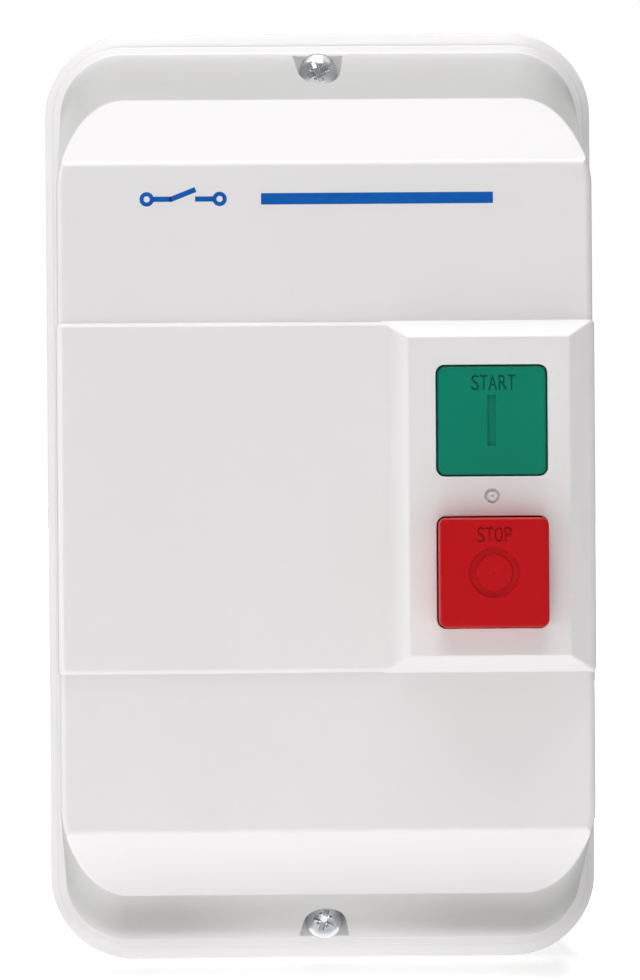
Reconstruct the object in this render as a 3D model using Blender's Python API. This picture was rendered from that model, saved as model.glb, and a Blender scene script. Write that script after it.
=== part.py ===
"""Enclosed direct-on-line motor starter: a moulded wall box with START and STOP buttons,
holding a contactor and a thermal overload relay on a top-hat rail.

Frame: +Z up, X to the right, the wall plane is y = 0 and the front faces -Y. The origin is the
centre of the back face. Geometry is written as (x, depth, z) in millimetres, where depth is the
distance forward of the wall (depth = -y).
"""

import math

import bmesh
import bpy
from mathutils import Matrix, Vector

MM = 0.001

# ---- driving dimensions, mm ----
SIDES = (1, -1)                                # top and bottom, or right and left
FRONT_DEPTH = 112.0                            # front face of the cover
WALL = 2.6                                     # cover wall
COVER_SCREW_Z = 86.6                           # cover screws, above and below the centre

BUTTON_X, BUTTON_Z = 32.0, 14.65               # START centre; STOP is at -BUTTON_Z
OPENING = 10.75                                # half side of the button openings
CAP = OPENING - 0.2                            # half side of the button caps
WELL = 12.1                                    # half side of the button wells
SHROUD_X, SHROUD_Z = 13.7, 28.4                # half sizes of the shroud, gasket and retainer
RETAINER_SCREWS = {"left": BUTTON_X - 8.0, "right": BUTTON_X + 8.0}
LIP_FRONT = 112.3                              # front of the lip round each cap
SPRING_BACK = 105.3                            # rear end of the button springs
START_FACE, STOP_FACE = 115.0, 121.5           # depth of the button faces
START_SEAT, STOP_SEAT = 113.4, 116.0           # floor of the spring bore inside each cap

RAIL_Z = 39.0                                  # centre of the rail and of the contactor
RAIL_SCREWS = {"left": -20.0, "right": 43.0}
CONTACTOR_X = 16.0                             # centre of the contactor and the relay
UNIT_HALF_X = 22.5                             # half width of both
UNIT_X0, UNIT_X1 = CONTACTOR_X - UNIT_HALF_X, CONTACTOR_X + UNIT_HALF_X
POLE_PITCH = 14.0
POLES = (CONTACTOR_X - POLE_PITCH, CONTACTOR_X, CONTACTOR_X + POLE_PITCH)
CONTACTOR_HALF_Z = 37.0
TERMINAL_Z = 29.0                              # terminal screws, from the rail centre
LINE_Z, LOAD_Z = RAIL_Z + TERMINAL_Z, RAIL_Z - TERMINAL_Z
OUTPUT_Z = -45.0                               # output screws of the relay
DIAL_X, DIAL_Z = 5.0, -24.0
HINGE_X, HINGE_DEPTH = -2.0, 94.4              # hinge of the dial cover
SLIDER_X, SLIDER_Z = 17.6, -12.0
EARTH_X, EARTH_Z = -34.0, -62.0

CORNER = 6                                     # segments in a rounded corner
SMOOTH_ANGLE = math.radians(32)                # sharper edges than this stay sharp


# ---- materials ----
def material(name, color, roughness, metallic=0.0):
    new = bpy.data.materials.new(name)
    new.use_nodes = True
    shader = new.node_tree.nodes["Principled BSDF"]
    shader.inputs["Base Color"].default_value = (*color, 1.0)
    shader.inputs["Roughness"].default_value = roughness
    shader.inputs["Metallic"].default_value = metallic
    new.diffuse_color = (*color, 1.0)
    return new


for old in list(bpy.data.objects):
    bpy.data.objects.remove(old, do_unlink=True)

CASE = material("case_plastic", color=(0.80, 0.79, 0.79), roughness=0.38)
GREEN = material("start_green", color=(0.0, 0.20, 0.13), roughness=0.35)
RED = material("stop_red", color=(0.48, 0.007, 0.011), roughness=0.35)
ZINC = material("zinc_steel", color=(0.72, 0.73, 0.74), roughness=0.28, metallic=1.0)
BRASS = material("brass", color=(0.74, 0.55, 0.25), roughness=0.32, metallic=1.0)
COPPER = material("copper", color=(0.85, 0.45, 0.28), roughness=0.35, metallic=1.0)
RUBBER = material("rubber", color=(0.03, 0.03, 0.03), roughness=0.75)
IVORY = material("ivory_plastic", color=(0.74, 0.72, 0.66), roughness=0.45)
DARK = material("dark_plastic", color=(0.045, 0.047, 0.05), roughness=0.45)
WHITE = material("white_plastic", color=(0.82, 0.82, 0.80), roughness=0.45)
IRON = material("core_iron", color=(0.36, 0.37, 0.38), roughness=0.42, metallic=1.0)
CLEAR = material("clear_plastic", color=(0.80, 0.86, 0.88), roughness=0.10)
BLUE = material("blue_plastic", color=(0.02, 0.12, 0.42), roughness=0.35)
WIRE = material("wire_insulation", color=(0.02, 0.02, 0.022), roughness=0.5)


# ---- solids ----
def to_scene(point):
    """A point (x, depth, z) in mm as scene coordinates."""
    x, depth, z = point
    return Vector((x * MM, -depth * MM, z * MM))


def loft(loops, ring=False):
    """A closed solid through loops of equal length: capped, or joined last to first for a ring."""
    size, last = len(loops[0]), len(loops) - 1
    pairs = [(i, i + 1) for i in range(last)]
    if ring:
        pairs.append((last, 0))
    faces = []
    for a, b in pairs:
        for k in range(size):
            j = (k + 1) % size
            faces.append((a * size + k, a * size + j, b * size + j, b * size + k))
    if not ring:
        faces.append(tuple(range(size))[::-1])
        faces.append(tuple(last * size + k for k in range(size)))

    mesh = bpy.data.meshes.new("solid")
    mesh.from_pydata([to_scene(point) for loop in loops for point in loop], [], faces)
    editable = bmesh.new()
    editable.from_mesh(mesh)
    bmesh.ops.recalc_face_normals(editable, faces=editable.faces)
    editable.to_mesh(mesh)
    editable.free()
    solid = bpy.data.objects.new("solid", mesh)
    bpy.context.scene.collection.objects.link(solid)
    return solid


def at_depth(depth, points):
    return [(x, depth, z) for x, z in points]


def rounded_rect(half_x, half_z, radius, x=0.0, z=0.0, segments=CORNER):
    """Rounded rectangle centred on (x, z), as (x, z) points."""
    points = []
    for side_x, side_z, start in ((1, 1, 0.0), (-1, 1, 90.0), (-1, -1, 180.0), (1, -1, 270.0)):
        for k in range(segments + 1):
            angle = math.radians(start + 90.0 * k / segments)
            points.append((x + side_x * (half_x - radius) + radius * math.cos(angle),
                           z + side_z * (half_z - radius) + radius * math.sin(angle)))
    return points


def moulding(rows, x=0.0, z=0.0, segments=CORNER, ring=False):
    """A solid through rounded rectangles; rows are (depth, half x, half z, corner radius)."""
    return loft([at_depth(depth, rounded_rect(half_x, half_z, radius, x, z, segments))
                 for depth, half_x, half_z, radius in rows], ring)


def box(x0, x1, depth0, depth1, z0, z1):
    outline = ((x0, z0), (x1, z0), (x1, z1), (x0, z1))
    return loft([at_depth(depth, outline) for depth in (depth0, depth1)])


def centred_box(x, z, half_x, half_z, depth0, depth1):
    return box(x - half_x, x + half_x, depth0, depth1, z - half_z, z + half_z)


def prism_x(x0, x1, outline):
    """Polygon of (depth, z) points, extruded along x."""
    return loft([[(x, depth, z) for depth, z in outline] for x in (x0, x1)])


def circle(radius, sides, centre, start=0.0):
    angles = [start + 2 * math.pi * k / sides for k in range(sides)]
    return [(centre[0] + radius * math.cos(a), centre[1] + radius * math.sin(a)) for a in angles]


def turned(profile, x, z, sides=16, ring=False):
    """A solid turned about the depth axis through (x, z); profile is (depth, radius)."""
    return loft([at_depth(depth, circle(radius, sides, (x, z), math.pi / sides))
                 for depth, radius in profile], ring)


def rod(radius, depth0, depth1, x, z, sides=16):
    return turned([(depth0, radius), (depth1, radius)], x, z, sides)


def washer(inner, outer, depth0, depth1, x, z, sides):
    profile = [(depth0, inner), (depth0, outer), (depth1, outer), (depth1, inner)]
    return turned(profile, x, z, sides, ring=True)


def circle_across_z(radius, z, x, depth, sides):
    return [(*point, z) for point in circle(radius, sides, (x, depth))]


def hinge_pin(radius, z0, z1, sides):
    """A round bar along z on the hinge of the dial cover."""
    return loft([circle_across_z(radius, z, HINGE_X, HINGE_DEPTH, sides) for z in (z0, z1)])


def boolean(target, tools, operation):
    for tool in tools:
        modifier = target.modifiers.new("boolean", "BOOLEAN")
        modifier.operation = operation
        modifier.object = tool
        modifier.solver = "EXACT"
        bpy.context.view_layer.update()
        evaluated = target.evaluated_get(bpy.context.evaluated_depsgraph_get())
        result = bpy.data.meshes.new_from_object(evaluated)
        target.modifiers.clear()
        target.data = result
        bpy.data.objects.remove(tool, do_unlink=True)
    return target


def cut(target, *tools):
    return boolean(target, tools, "DIFFERENCE")


def join(target, *tools):
    return boolean(target, tools, "UNION")


def finish(piece, name, surface, pivot=(0.0, 0.0, 0.0), smooth=True):
    """Names the piece, sets its material and moves its origin to pivot, a point (x, depth, z)."""
    piece.name = name
    piece.data.name = name
    origin = to_scene(pivot)
    piece.data.transform(Matrix.Translation(-origin))
    piece.location = origin
    piece.data.materials.clear()
    piece.data.materials.append(surface)
    if smooth:
        piece.data.shade_smooth()
        piece.data.set_sharp_from_angle(angle=SMOOTH_ANGLE)
    return piece


# ---- wires, springs and screws ----
def sweep(path, radius, sides):
    """A round wire along a polyline, with its frame carried along so that it never twists."""
    points = [Vector(point) for point in path]
    last = len(points) - 1
    tangents = [(points[min(i + 1, last)] - points[max(i - 1, 0)]).normalized()
                for i in range(last + 1)]
    across = Vector((0.31, 0.77, 0.55))        # any direction that no path starts along
    across = (across - tangents[0] * across.dot(tangents[0])).normalized()
    loops = []
    for point, tangent in zip(points, tangents):
        across = (across - tangent * across.dot(tangent)).normalized()
        other = tangent.cross(across)
        loops.append([tuple(point + across * x + other * y)
                      for x, y in circle(radius, sides, (0.0, 0.0))])
    return loft(loops)


def rounded_path(corners, radius, segments=4):
    """Polyline with each inner corner replaced by a curve starting radius away from it."""
    points = [Vector(corners[0])]
    for before, corner, after in zip(corners, corners[1:], corners[2:]):
        before, corner, after = Vector(before), Vector(corner), Vector(after)
        start = corner + (before - corner).normalized() * radius
        end = corner + (after - corner).normalized() * radius
        for k in range(segments + 1):
            t = k / segments
            points.append(start * (1 - t) ** 2 + corner * 2 * t * (1 - t) + end * t * t)
    points.append(Vector(corners[-1]))
    return points


def coil_spring(x, z, depth0, depth1, radius, wire, turns, steps=10, sides=5):
    """A compression spring along the depth axis; wire is the wire radius, steps are per turn."""
    end_turns = 0.85                           # nearly closed turns at each end
    end_rise = 2.1 * wire
    back = depth0 + wire
    height = (depth1 - wire) - back
    path = []
    for k in range(int(turns * steps) + 1):
        turn = k / steps
        if turn < end_turns:
            rise = turn / end_turns * end_rise
        elif turn > turns - end_turns:
            rise = height - (turns - turn) / end_turns * end_rise
        else:
            share = (turn - end_turns) / (turns - 2 * end_turns)
            rise = end_rise + share * (height - 2 * end_rise)
        angle = 2 * math.pi * turn
        path.append((x + radius * math.cos(angle), back + rise, z + radius * math.sin(angle)))
    return sweep(path, wire, sides)


def cross_screw(head_radius, head_height, shank_radius, length, sides):
    """A pan-head screw with a cross recess, its origin under the head."""
    screw = turned(
        [
            (-length, shank_radius * 0.45),
            (-length + 0.6, shank_radius),
            (0.0, shank_radius),
            (0.0, head_radius),
            (head_height * 0.45, head_radius),
            (head_height * 0.85, head_radius * 0.80),
            (head_height, head_radius * 0.5),
        ],
        0.0, 0.0, sides,
    )
    slot, reach, top = head_radius * 0.16, head_radius * 0.546, head_height + 1
    cut(screw, centred_box(0.0, 0.0, slot, reach, head_height * 0.40, top))
    # The second slot differs slightly so that no two cut faces coincide.
    return cut(screw, centred_box(0.0, 0.0, reach, slot * 1.01, head_height * 0.402, top))


def place_screws(places, head_radius, head_height, shank_radius, length, sides=12):
    """One screw mesh shared by all places, {name: (x, depth, z)}."""
    names = list(places)
    first = cross_screw(head_radius, head_height, shank_radius, length, sides)
    finish(first, names[0], ZINC)
    first.location = to_scene(places[names[0]])
    for name in names[1:]:
        screw = bpy.data.objects.new(name, first.data)
        screw.location = to_scene(places[name])
        bpy.context.scene.collection.objects.link(screw)


# ---- rear case ----
# depth, half x, half z, corner radius: up the outside, over the grooved rim, down the inside
CASE_ROWS = [
    (0.0, 53.2, 92.2, 14.2), (1.0, 54.0, 93.0, 15.0), (33.6, 54.8, 93.8, 15.8),
    (34.8, 56.0, 95.0, 17.0), (39.6, 56.0, 95.0, 17.0), (40.6, 55.6, 94.6, 16.6),
    (41.0, 54.9, 93.9, 15.9), (41.0, 53.8, 91.9, 13.9), (39.4, 53.8, 91.9, 13.9),
    (39.4, 52.0, 90.1, 12.1), (41.0, 52.0, 90.1, 12.1), (41.0, 50.8, 88.9, 11.0),
    (34.0, 50.8, 88.9, 11.0), (33.0, 51.9, 90.9, 12.9), (3.0, 51.4, 90.4, 12.4),
]
# depth, half x, half z, corner radius
GASKET_ROWS = [
    (39.7, 53.5, 91.6, 13.6), (40.9, 53.5, 91.6, 13.6),
    (40.9, 52.3, 90.4, 12.4), (39.7, 52.3, 90.4, 12.4),
]
FIXING_X, FIXING_Z = 40.0, 76.0                # wall fixings
KNOCKOUT_X, KNOCKOUT_DEPTH = 22.0, 19.0
KNOCKOUT_SECTION = [(10.2, 91.7), (10.2, 96.0), (11.2, 96.0), (11.2, 91.7)]    # radius, |z|


def knockout_groove(x, side):
    """The annular groove that leaves a thin web for a cable gland."""
    return loft([circle_across_z(radius, side * z, x, KNOCKOUT_DEPTH, 20)
                 for radius, z in KNOCKOUT_SECTION], ring=True)


def rear_case():
    case = moulding(CASE_ROWS)
    for side in SIDES:                         # cover screw posts
        join(case, rod(4.6, 2.0, 38.4, 0.0, side * COVER_SCREW_Z))
        cut(case, rod(2.1, 8.0, 40.0, 0.0, side * COVER_SCREW_Z, 12))
    for x in RAIL_SCREWS.values():             # rail posts
        join(case, rod(4.0, 2.0, 8.0, x, RAIL_Z, 12))
        cut(case, rod(1.9, 1.2, 9.0, x, RAIL_Z, 10))
    join(case, rod(5.0, 2.0, 7.7, EARTH_X, EARTH_Z, 12))
    cut(case, rod(2.0, 1.4, 9.0, EARTH_X, EARTH_Z, 10))
    for side_x in SIDES:
        for side_z in SIDES:
            x, z = side_x * FIXING_X, side_z * FIXING_Z
            join(case, rod(5.6, 2.0, 4.6, x, z, 12))
            cut(case, rod(2.7, -1.0, 6.0, x, z, 12))
            cut(case, knockout_groove(side_x * KNOCKOUT_X, side_z))
    finish(case, "rear_case", CASE)


# ---- front cover ----
# depth, half x, half z, corner radius: foot flange, then the tapering body
COVER_ROWS = [
    (41.2, 54.4, 92.3, 14.5), (43.4, 54.4, 92.3, 14.5), (44.2, 53.7, 91.6, 13.8),
    (44.5, 52.7, 90.6, 12.8), (110.5, 51.85, 73.62, 13.2), (111.56, 51.4, 73.15, 12.9),
    (FRONT_DEPTH, 50.3, 72.05, 12.0),
]
# The same columns for the space inside the cover
HOLLOW_ROWS = [
    (38.0, 50.15, 88.1, 10.4), (44.5, 50.1, 88.0, 10.3), (FRONT_DEPTH - WALL, 49.2, 71.3, 10.5),
]
SHOULDER_Z = 64.8                              # sloping shoulder: its edge on the front face
SHOULDER_FOOT_DEPTH, SHOULDER_FOOT_Z = 92.0, 78.5
BAND_Z, BAND_RISE = 34.05, 0.8                 # raised middle band
BAND_ROWS = [
    (43.0, 53.0, BAND_Z, 0.8), (111.2, 52.15, BAND_Z, 0.8), (FRONT_DEPTH, 51.75, BAND_Z, 0.8),
    (FRONT_DEPTH + BAND_RISE, 50.9, BAND_Z - BAND_RISE, 0.6),
]
PANEL_FRONT = 115.25                           # raised control panel
PANEL_X0, PANEL_X1, PANEL_Z = 15.9, 47.1, 30.8
PANEL_FOOT_X0, PANEL_FOOT_X1, PANEL_FOOT_Z = 10.33, 51.6, BAND_Z - 0.02
# depth, left x, right x, half z
PANEL_ROWS = [
    (108.0, PANEL_FOOT_X0, PANEL_FOOT_X1, PANEL_FOOT_Z),
    (FRONT_DEPTH, PANEL_FOOT_X0, PANEL_FOOT_X1, PANEL_FOOT_Z),
    (PANEL_FRONT - 0.15, PANEL_X0 - 0.26, PANEL_X1 + 0.22, PANEL_Z + 0.13),
    (PANEL_FRONT, PANEL_X0, PANEL_X1, PANEL_Z - 0.1),
]


def shoulder_wedge(side, inset):
    """What the sloping shoulder removes, its plane moved inwards by inset."""
    run, rise = FRONT_DEPTH - SHOULDER_FOOT_DEPTH, SHOULDER_Z - SHOULDER_FOOT_Z
    length = math.hypot(run, rise)
    inset_depth, inset_z = -rise / length * inset, run / length * inset
    front_depth = FRONT_DEPTH - inset_depth + 0.35 * run
    front_z = SHOULDER_Z - inset_z + 0.35 * rise
    back_depth = SHOULDER_FOOT_DEPTH - inset_depth - 0.8 * run
    back_z = SHOULDER_FOOT_Z - inset_z - 0.8 * rise
    outline = [(front_depth, front_z), (back_depth, back_z), (back_depth, 120.0),
               (front_depth, 120.0)]
    return prism_x(-70.0, 70.0, [(depth, side * z) for depth, z in outline])


def cover_hollow():
    hollow = moulding(HOLLOW_ROWS)
    cut(hollow, *[shoulder_wedge(side, WALL) for side in SIDES])
    # Leaves the screw bosses standing.
    return cut(hollow, *[rod(6.4, 41.7, 84.0, 0.0, side * COVER_SCREW_Z, 20) for side in SIDES])


def cut_screw_pocket(cover, side):
    z = side * COVER_SCREW_Z
    outline = [(-4.3, 86.0), (4.3, 86.0), (5.4, 95.0), (-5.4, 95.0)]    # opens outwards
    outline = [(x, side * outline_z) for x, outline_z in outline]
    cut(cover, rod(4.4, 46.5, 86.0, 0.0, z, 20))
    cut(cover, loft([at_depth(depth, outline) for depth in (46.51, 86.0)]))
    cut(cover, rod(3.9, 40.0, 44.1, 0.0, z))
    cut(cover, rod(2.3, 43.0, 48.0, 0.0, z, 12))


def front_cover():
    cover = cut(moulding(COVER_ROWS), *[shoulder_wedge(side, 0.0) for side in SIDES])
    join(cover, moulding(BAND_ROWS, segments=2))
    join(cover, loft([
        at_depth(depth, rounded_rect((x1 - x0) / 2, half_z, 0.5, (x0 + x1) / 2, 0.0, 2))
        for depth, x0, x1, half_z in PANEL_ROWS
    ]))
    cut(cover, cover_hollow())
    for side in SIDES:
        cut_screw_pocket(cover, side)
    join(cover, centred_box(BUTTON_X, 0.0, SHROUD_X, SHROUD_Z, 106.2, 110.2))
    for side in SIDES:
        z = side * BUTTON_Z
        cut(cover, centred_box(BUTTON_X, z, WELL, WELL, 105.0, 112.65))
        opening_rows = [(depth, OPENING, OPENING, 1.7) for depth in (110.0, 118.0)]
        cut(cover, moulding(opening_rows, BUTTON_X, z, 3))
    for x in RETAINER_SCREWS.values():
        cut(cover, rod(1.15, 105.0, 110.8, x, 0.0, 8))
    # Small engraved ring between the buttons
    cut(cover, washer(0.95, 1.5, PANEL_FRONT - 0.45, PANEL_FRONT + 1, BUTTON_X, 0.0, 12))
    finish(cover, "front_cover", CASE)


def cover_fasteners():
    heights = {"top": COVER_SCREW_Z, "bottom": -COVER_SCREW_Z}
    place_screws({f"cover_screw_{word}": (0.0, 46.8, z) for word, z in heights.items()},
                 head_radius=3.55, head_height=2.7, shank_radius=1.75, length=22.0, sides=16)
    for word, z in heights.items():
        keeper = washer(2.05, 3.5, 42.3, 43.5, 0.0, z, 14)
        finish(keeper, f"screw_retaining_ring_{word}", RUBBER)


# ---- push-buttons ----
def button(face, seat, stem_end, z):
    """A hollow cap with a lip behind the panel and a stem reaching back to stem_end."""
    rows = [
        (111.2, 11.7, 11.7, 1.6), (LIP_FRONT, 11.7, 11.7, 1.6), (LIP_FRONT, CAP, CAP, 1.5),
        (face - 0.45, CAP, CAP, 1.5), (face - 0.12, CAP - 0.12, CAP - 0.12, 1.4),
        (face, CAP - 0.45, CAP - 0.45, 1.2),
    ]
    cap = moulding(rows, BUTTON_X, z, 3)
    cut(cap, rod(6.3, 110.0, seat, BUTTON_X, z))
    stem = [(stem_end, 2.4), (stem_end + 0.5, 2.8), (seat + 0.6, 2.8)]
    return join(cap, turned(stem, BUTTON_X, z, 12))


def button_spring(name, seat, z, turns):
    spring = coil_spring(BUTTON_X, z, SPRING_BACK, seat - 0.3, radius=4.75, wire=0.35, turns=turns)
    finish(spring, name, ZINC, (BUTTON_X, SPRING_BACK, z))


def start_button():
    start = button(START_FACE, START_SEAT, 101.7, BUTTON_Z)
    cut(start, centred_box(BUTTON_X, BUTTON_Z, 0.75, 4.9, START_FACE - 0.5, START_FACE + 1))
    finish(start, "start_button", GREEN, (BUTTON_X, LIP_FRONT, BUTTON_Z))
    button_spring("start_spring", START_SEAT, BUTTON_Z, turns=5.0)


def stop_button():
    stop = button(STOP_FACE, STOP_SEAT, 97.3, -BUTTON_Z)
    cut(stop, washer(3.4, 4.85, STOP_FACE - 0.5, STOP_FACE + 1, BUTTON_X, -BUTTON_Z, 20))
    finish(stop, "stop_button", RED, (BUTTON_X, LIP_FRONT, -BUTTON_Z))
    button_spring("stop_spring", STOP_SEAT, -BUTTON_Z, turns=6.0)


def button_mounting():
    """The gasket and the retainer plate behind the buttons, with the plate's screws."""
    gasket = centred_box(BUTTON_X, 0.0, SHROUD_X, SHROUD_Z, 105.3, 105.95)
    retainer = centred_box(BUTTON_X, 0.0, SHROUD_X, SHROUD_Z, 103.2, 105.0)
    for side in SIDES:
        z = side * BUTTON_Z
        cut(gasket, centred_box(BUTTON_X, z, WELL, WELL, 104.0, 107.0))
        join(retainer, rod(3.95, 104.0, 107.4, BUTTON_X, z, 14))
        cut(retainer, rod(3.15, 102.0, 108.0, BUTTON_X, z, 14))
    screw_profile = [(101.6, 1.2), (101.9, 2.1), (102.9, 2.1), (102.9, 0.95), (109.0, 0.95),
                     (109.8, 0.4)]
    for word, x in RETAINER_SCREWS.items():
        cut(gasket, rod(1.3, 104.0, 107.0, x, 0.0, 8))
        cut(retainer, rod(1.35, 102.0, 106.0, x, 0.0, 8))
        finish(turned(screw_profile, x, 0.0, 10), f"retainer_screw_{word}", ZINC)
    finish(gasket, "button_gasket", RUBBER)
    finish(retainer, "button_retainer", DARK)


def start_contact():
    x0, x1 = BUTTON_X - 6.2, BUTTON_X + 6.2
    block = join(box(x0, x1, 91.4, 97.0, 6.0, 36.0), box(x0, x1, 83.0, 92.0, 6.0, 21.5))
    cut(block, centred_box(BUTTON_X, BUTTON_Z, 4.0, 4.0, 84.4, 94.0))
    cut(block, rod(2.5, 92.0, 98.0, BUTTON_X, BUTTON_Z, 12))
    cut(block, centred_box(BUTTON_X, 29.0, 3.5, 4.0, 95.8, 98.0))    # label recess
    finish(block, "start_contact_block", DARK)
    profile = [(88.4, 2.2), (90.0, 2.2), (90.0, 3.3), (91.4, 3.3), (91.4, 2.2), (101.0, 2.2),
               (101.4, 1.8)]
    plunger = turned(profile, BUTTON_X, BUTTON_Z, 12)
    finish(plunger, "start_contact_plunger", WHITE, (BUTTON_X, 97.0, BUTTON_Z))


# ---- top-hat rail and earth terminal ----
# depth, z from the rail centre
RAIL_SECTION = [
    (8.3, -13.5), (8.3, 13.5), (14.8, 13.5), (14.8, 17.5), (15.8, 17.5), (15.8, 12.5),
    (9.3, 12.5), (9.3, -12.5), (15.8, -12.5), (15.8, -17.5), (14.8, -17.5), (14.8, -13.5),
]


def din_rail():
    rail = prism_x(-27.0, 48.2, [(depth, RAIL_Z + z) for depth, z in RAIL_SECTION])
    for x in RAIL_SCREWS.values():
        cut(rail, rod(2.2, 7.0, 11.0, x, RAIL_Z, 12))
    finish(rail, "din_rail", ZINC)


def earth_terminal():
    plate = centred_box(EARTH_X, EARTH_Z, 7.0, 6.0, 8.0, 9.3)
    # The tab is 0.01 out of line so that its faces do not coincide with the plate's.
    join(plate, box(-42.2, -40.6, 8.01, 12.0, -68.01, -56.01))
    cut(plate, rod(2.2, 7.0, 10.5, EARTH_X, EARTH_Z, 12))
    finish(plate, "earth_terminal", BRASS)


def base_screws():
    places = {f"rail_screw_{word}": (x, 9.6, RAIL_Z) for word, x in RAIL_SCREWS.items()}
    places["earth_screw"] = (EARTH_X, 9.6, EARTH_Z)
    place_screws(places, head_radius=3.4, head_height=2.2, shank_radius=1.6, length=7.0)


# ---- contactor ----
# depth, half x, half z, corner radius
TOWER_ROWS = [(79.0, UNIT_HALF_X, 17.0, 0.3), (89.8, UNIT_HALF_X, 17.0, 0.3),
              (91.0, 21.4, 15.9, 0.3)]
BOBBIN_ROWS = [
    (27.2, 7.5, 6.5, 0.4), (27.2, 16.0, 14.6, 1.5), (28.7, 16.0, 14.6, 1.5), (28.7, 9.0, 8.0, 1.0),
    (44.0, 9.0, 8.0, 1.0), (44.0, 16.0, 14.6, 1.5), (45.5, 16.0, 14.6, 1.5), (45.5, 7.5, 6.5, 0.4),
]
WINDING_ROWS = [
    (29.0, 9.3, 8.3, 1.0), (29.0, 14.0, 12.8, 4.0), (30.0, 14.6, 13.4, 4.2),
    (42.7, 14.6, 13.4, 4.2), (43.7, 14.0, 12.8, 4.0), (43.7, 9.3, 8.3, 1.0),
]
# depth, distance from the rail centre along z
FOOT_SECTION = [(12.4, 14.2), (14.4, 14.2), (14.4, 18.0), (17.0, 18.0), (17.0, 21.5), (12.4, 21.5)]
TERMINAL_SECTION = [(64.0, 9.3), (64.0, 36.0), (65.5, 36.0), (65.5, 14.0), (66.3, 14.0),
                    (66.3, 9.3)]
ARMATURE_DEPTH, CARRIER_DEPTH = 58.5, 58.8     # front of the armature, back of the carrier


def contactor_box(half_x, half_z, depth0, depth1):
    return centred_box(CONTACTOR_X, RAIL_Z, half_x, half_z, depth0, depth1)


def contactor_base():
    base = contactor_box(UNIT_HALF_X, CONTACTOR_HALF_Z, 16.1, 50.0)
    cut(base, contactor_box(UNIT_HALF_X - 3.5, 27.0, 19.0, 52.0))
    for side in SIDES:                         # feet that hook behind the rail's lips
        outline = [(depth, RAIL_Z + side * z) for depth, z in FOOT_SECTION]
        join(base, prism_x(CONTACTOR_X - 16.0, CONTACTOR_X + 16.0, outline))
    for x0, x1 in ((UNIT_X0 - 1, UNIT_X0 + 1.2), (UNIT_X1 - 1.2, UNIT_X1 + 1)):    # finger notches
        cut(base, box(x0, x1, 24.0, 44.0, RAIL_Z - 12, RAIL_Z + 12))
    finish(base, "contactor_base", DARK)


def contactor_body():
    body = contactor_box(UNIT_HALF_X, CONTACTOR_HALF_Z, 50.3, 80.0)
    join(body, moulding(TOWER_ROWS, CONTACTOR_X, RAIL_Z, 1))
    cut(body, contactor_box(UNIT_HALF_X - 4.0, 10.5, 49.0, 88.2))
    cut(body, contactor_box(9.5, 24.5, 49.1, 61.0))
    for x in POLES:
        cut(body, box(x - 5.0, x + 5.0, 63.7, 84.0, -5.0, 85.0))
        for z in (LINE_Z, LOAD_Z):
            cut(body, rod(2.1, 54.0, 66.0, x, z, 10))
    cut(body, contactor_box(6.3, 5.3, 86.0, 93.0))
    finish(body, "contactor_body", IVORY)


def iron_core(yoke_depth, direction, leg):
    """An E-shaped core, its legs reaching from yoke_depth in the given depth direction."""
    section = [
        (0.0, -22.0), (leg, -22.0), (leg, -15.0), (7.0, -15.0), (7.0, -6.0), (leg, -6.0),
        (leg, 6.0), (7.0, 6.0), (7.0, 15.0), (leg, 15.0), (leg, 22.0), (0.0, 22.0),
    ]
    outline = [(yoke_depth + direction * reach, RAIL_Z + z) for reach, z in section]
    return prism_x(CONTACTOR_X - 7, CONTACTOR_X + 7, outline)


def magnet():
    finish(iron_core(19.5, 1, 18.5), "fixed_core", IRON, smooth=False)
    finish(iron_core(ARMATURE_DEPTH, -1, 15.0), "armature_core", IRON,
           (CONTACTOR_X, ARMATURE_DEPTH, RAIL_Z), smooth=False)
    finish(moulding(BOBBIN_ROWS, CONTACTOR_X, RAIL_Z, 2, ring=True), "coil_bobbin", WHITE)
    finish(moulding(WINDING_ROWS, CONTACTOR_X, RAIL_Z, 3, ring=True), "coil_winding", COPPER)
    for word, x in (("left", CONTACTOR_X - 11.8), ("right", CONTACTOR_X + 11.8)):
        spring = coil_spring(x, RAIL_Z, 45.8, ARMATURE_DEPTH, radius=2.6, wire=0.35, turns=6.0,
                             steps=8, sides=4)
        finish(spring, f"return_spring_{word}", ZINC, (x, 45.8, RAIL_Z))


def moving_contacts():
    carrier = contactor_box(17.2, 8.4, CARRIER_DEPTH, 82.0)
    join(carrier, contactor_box(6.0, 5.0, 81.0, 89.8))
    for number, x in enumerate(POLES, 1):
        cut(carrier, centred_box(x, RAIL_Z, 3.5, 14.0, 70.5, 79.5))
        bridge = centred_box(x, RAIL_Z, 3.0, 14.0, 73.0, 74.3)
        for side in SIDES:                     # contact pads
            join(bridge, centred_box(x, RAIL_Z + side * 11.7, 2.4, 1.9, 71.8, 73.4))
        finish(bridge, f"contact_bridge_l{number}", COPPER, (x, 73.0, RAIL_Z))
    finish(carrier, "contact_carrier", DARK, (CONTACTOR_X, CARRIER_DEPTH, RAIL_Z))


def terminals():
    for number, x in enumerate(POLES, 1):
        for side, name in ((1, f"line_terminal_l{number}"), (-1, f"load_terminal_t{number}")):
            outline = [(depth, RAIL_Z + side * z) for depth, z in TERMINAL_SECTION]
            terminal = prism_x(x - 4.0, x + 4.0, outline)
            cut(terminal, rod(2.15, 62.0, 68.0, x, RAIL_Z + side * TERMINAL_Z, 10))
            finish(terminal, name, BRASS)


def clamp_screws():
    places = {}
    for number, x in enumerate(POLES, 1):
        places[f"line_screw_l{number}"] = (x, 65.8, LINE_Z)
        places[f"load_screw_t{number}"] = (x, 67.5, LOAD_Z)
        places[f"output_screw_{number}"] = (x, 67.5, OUTPUT_Z)
    place_screws(places, head_radius=3.6, head_height=2.6, shank_radius=1.8, length=10.0)


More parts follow.
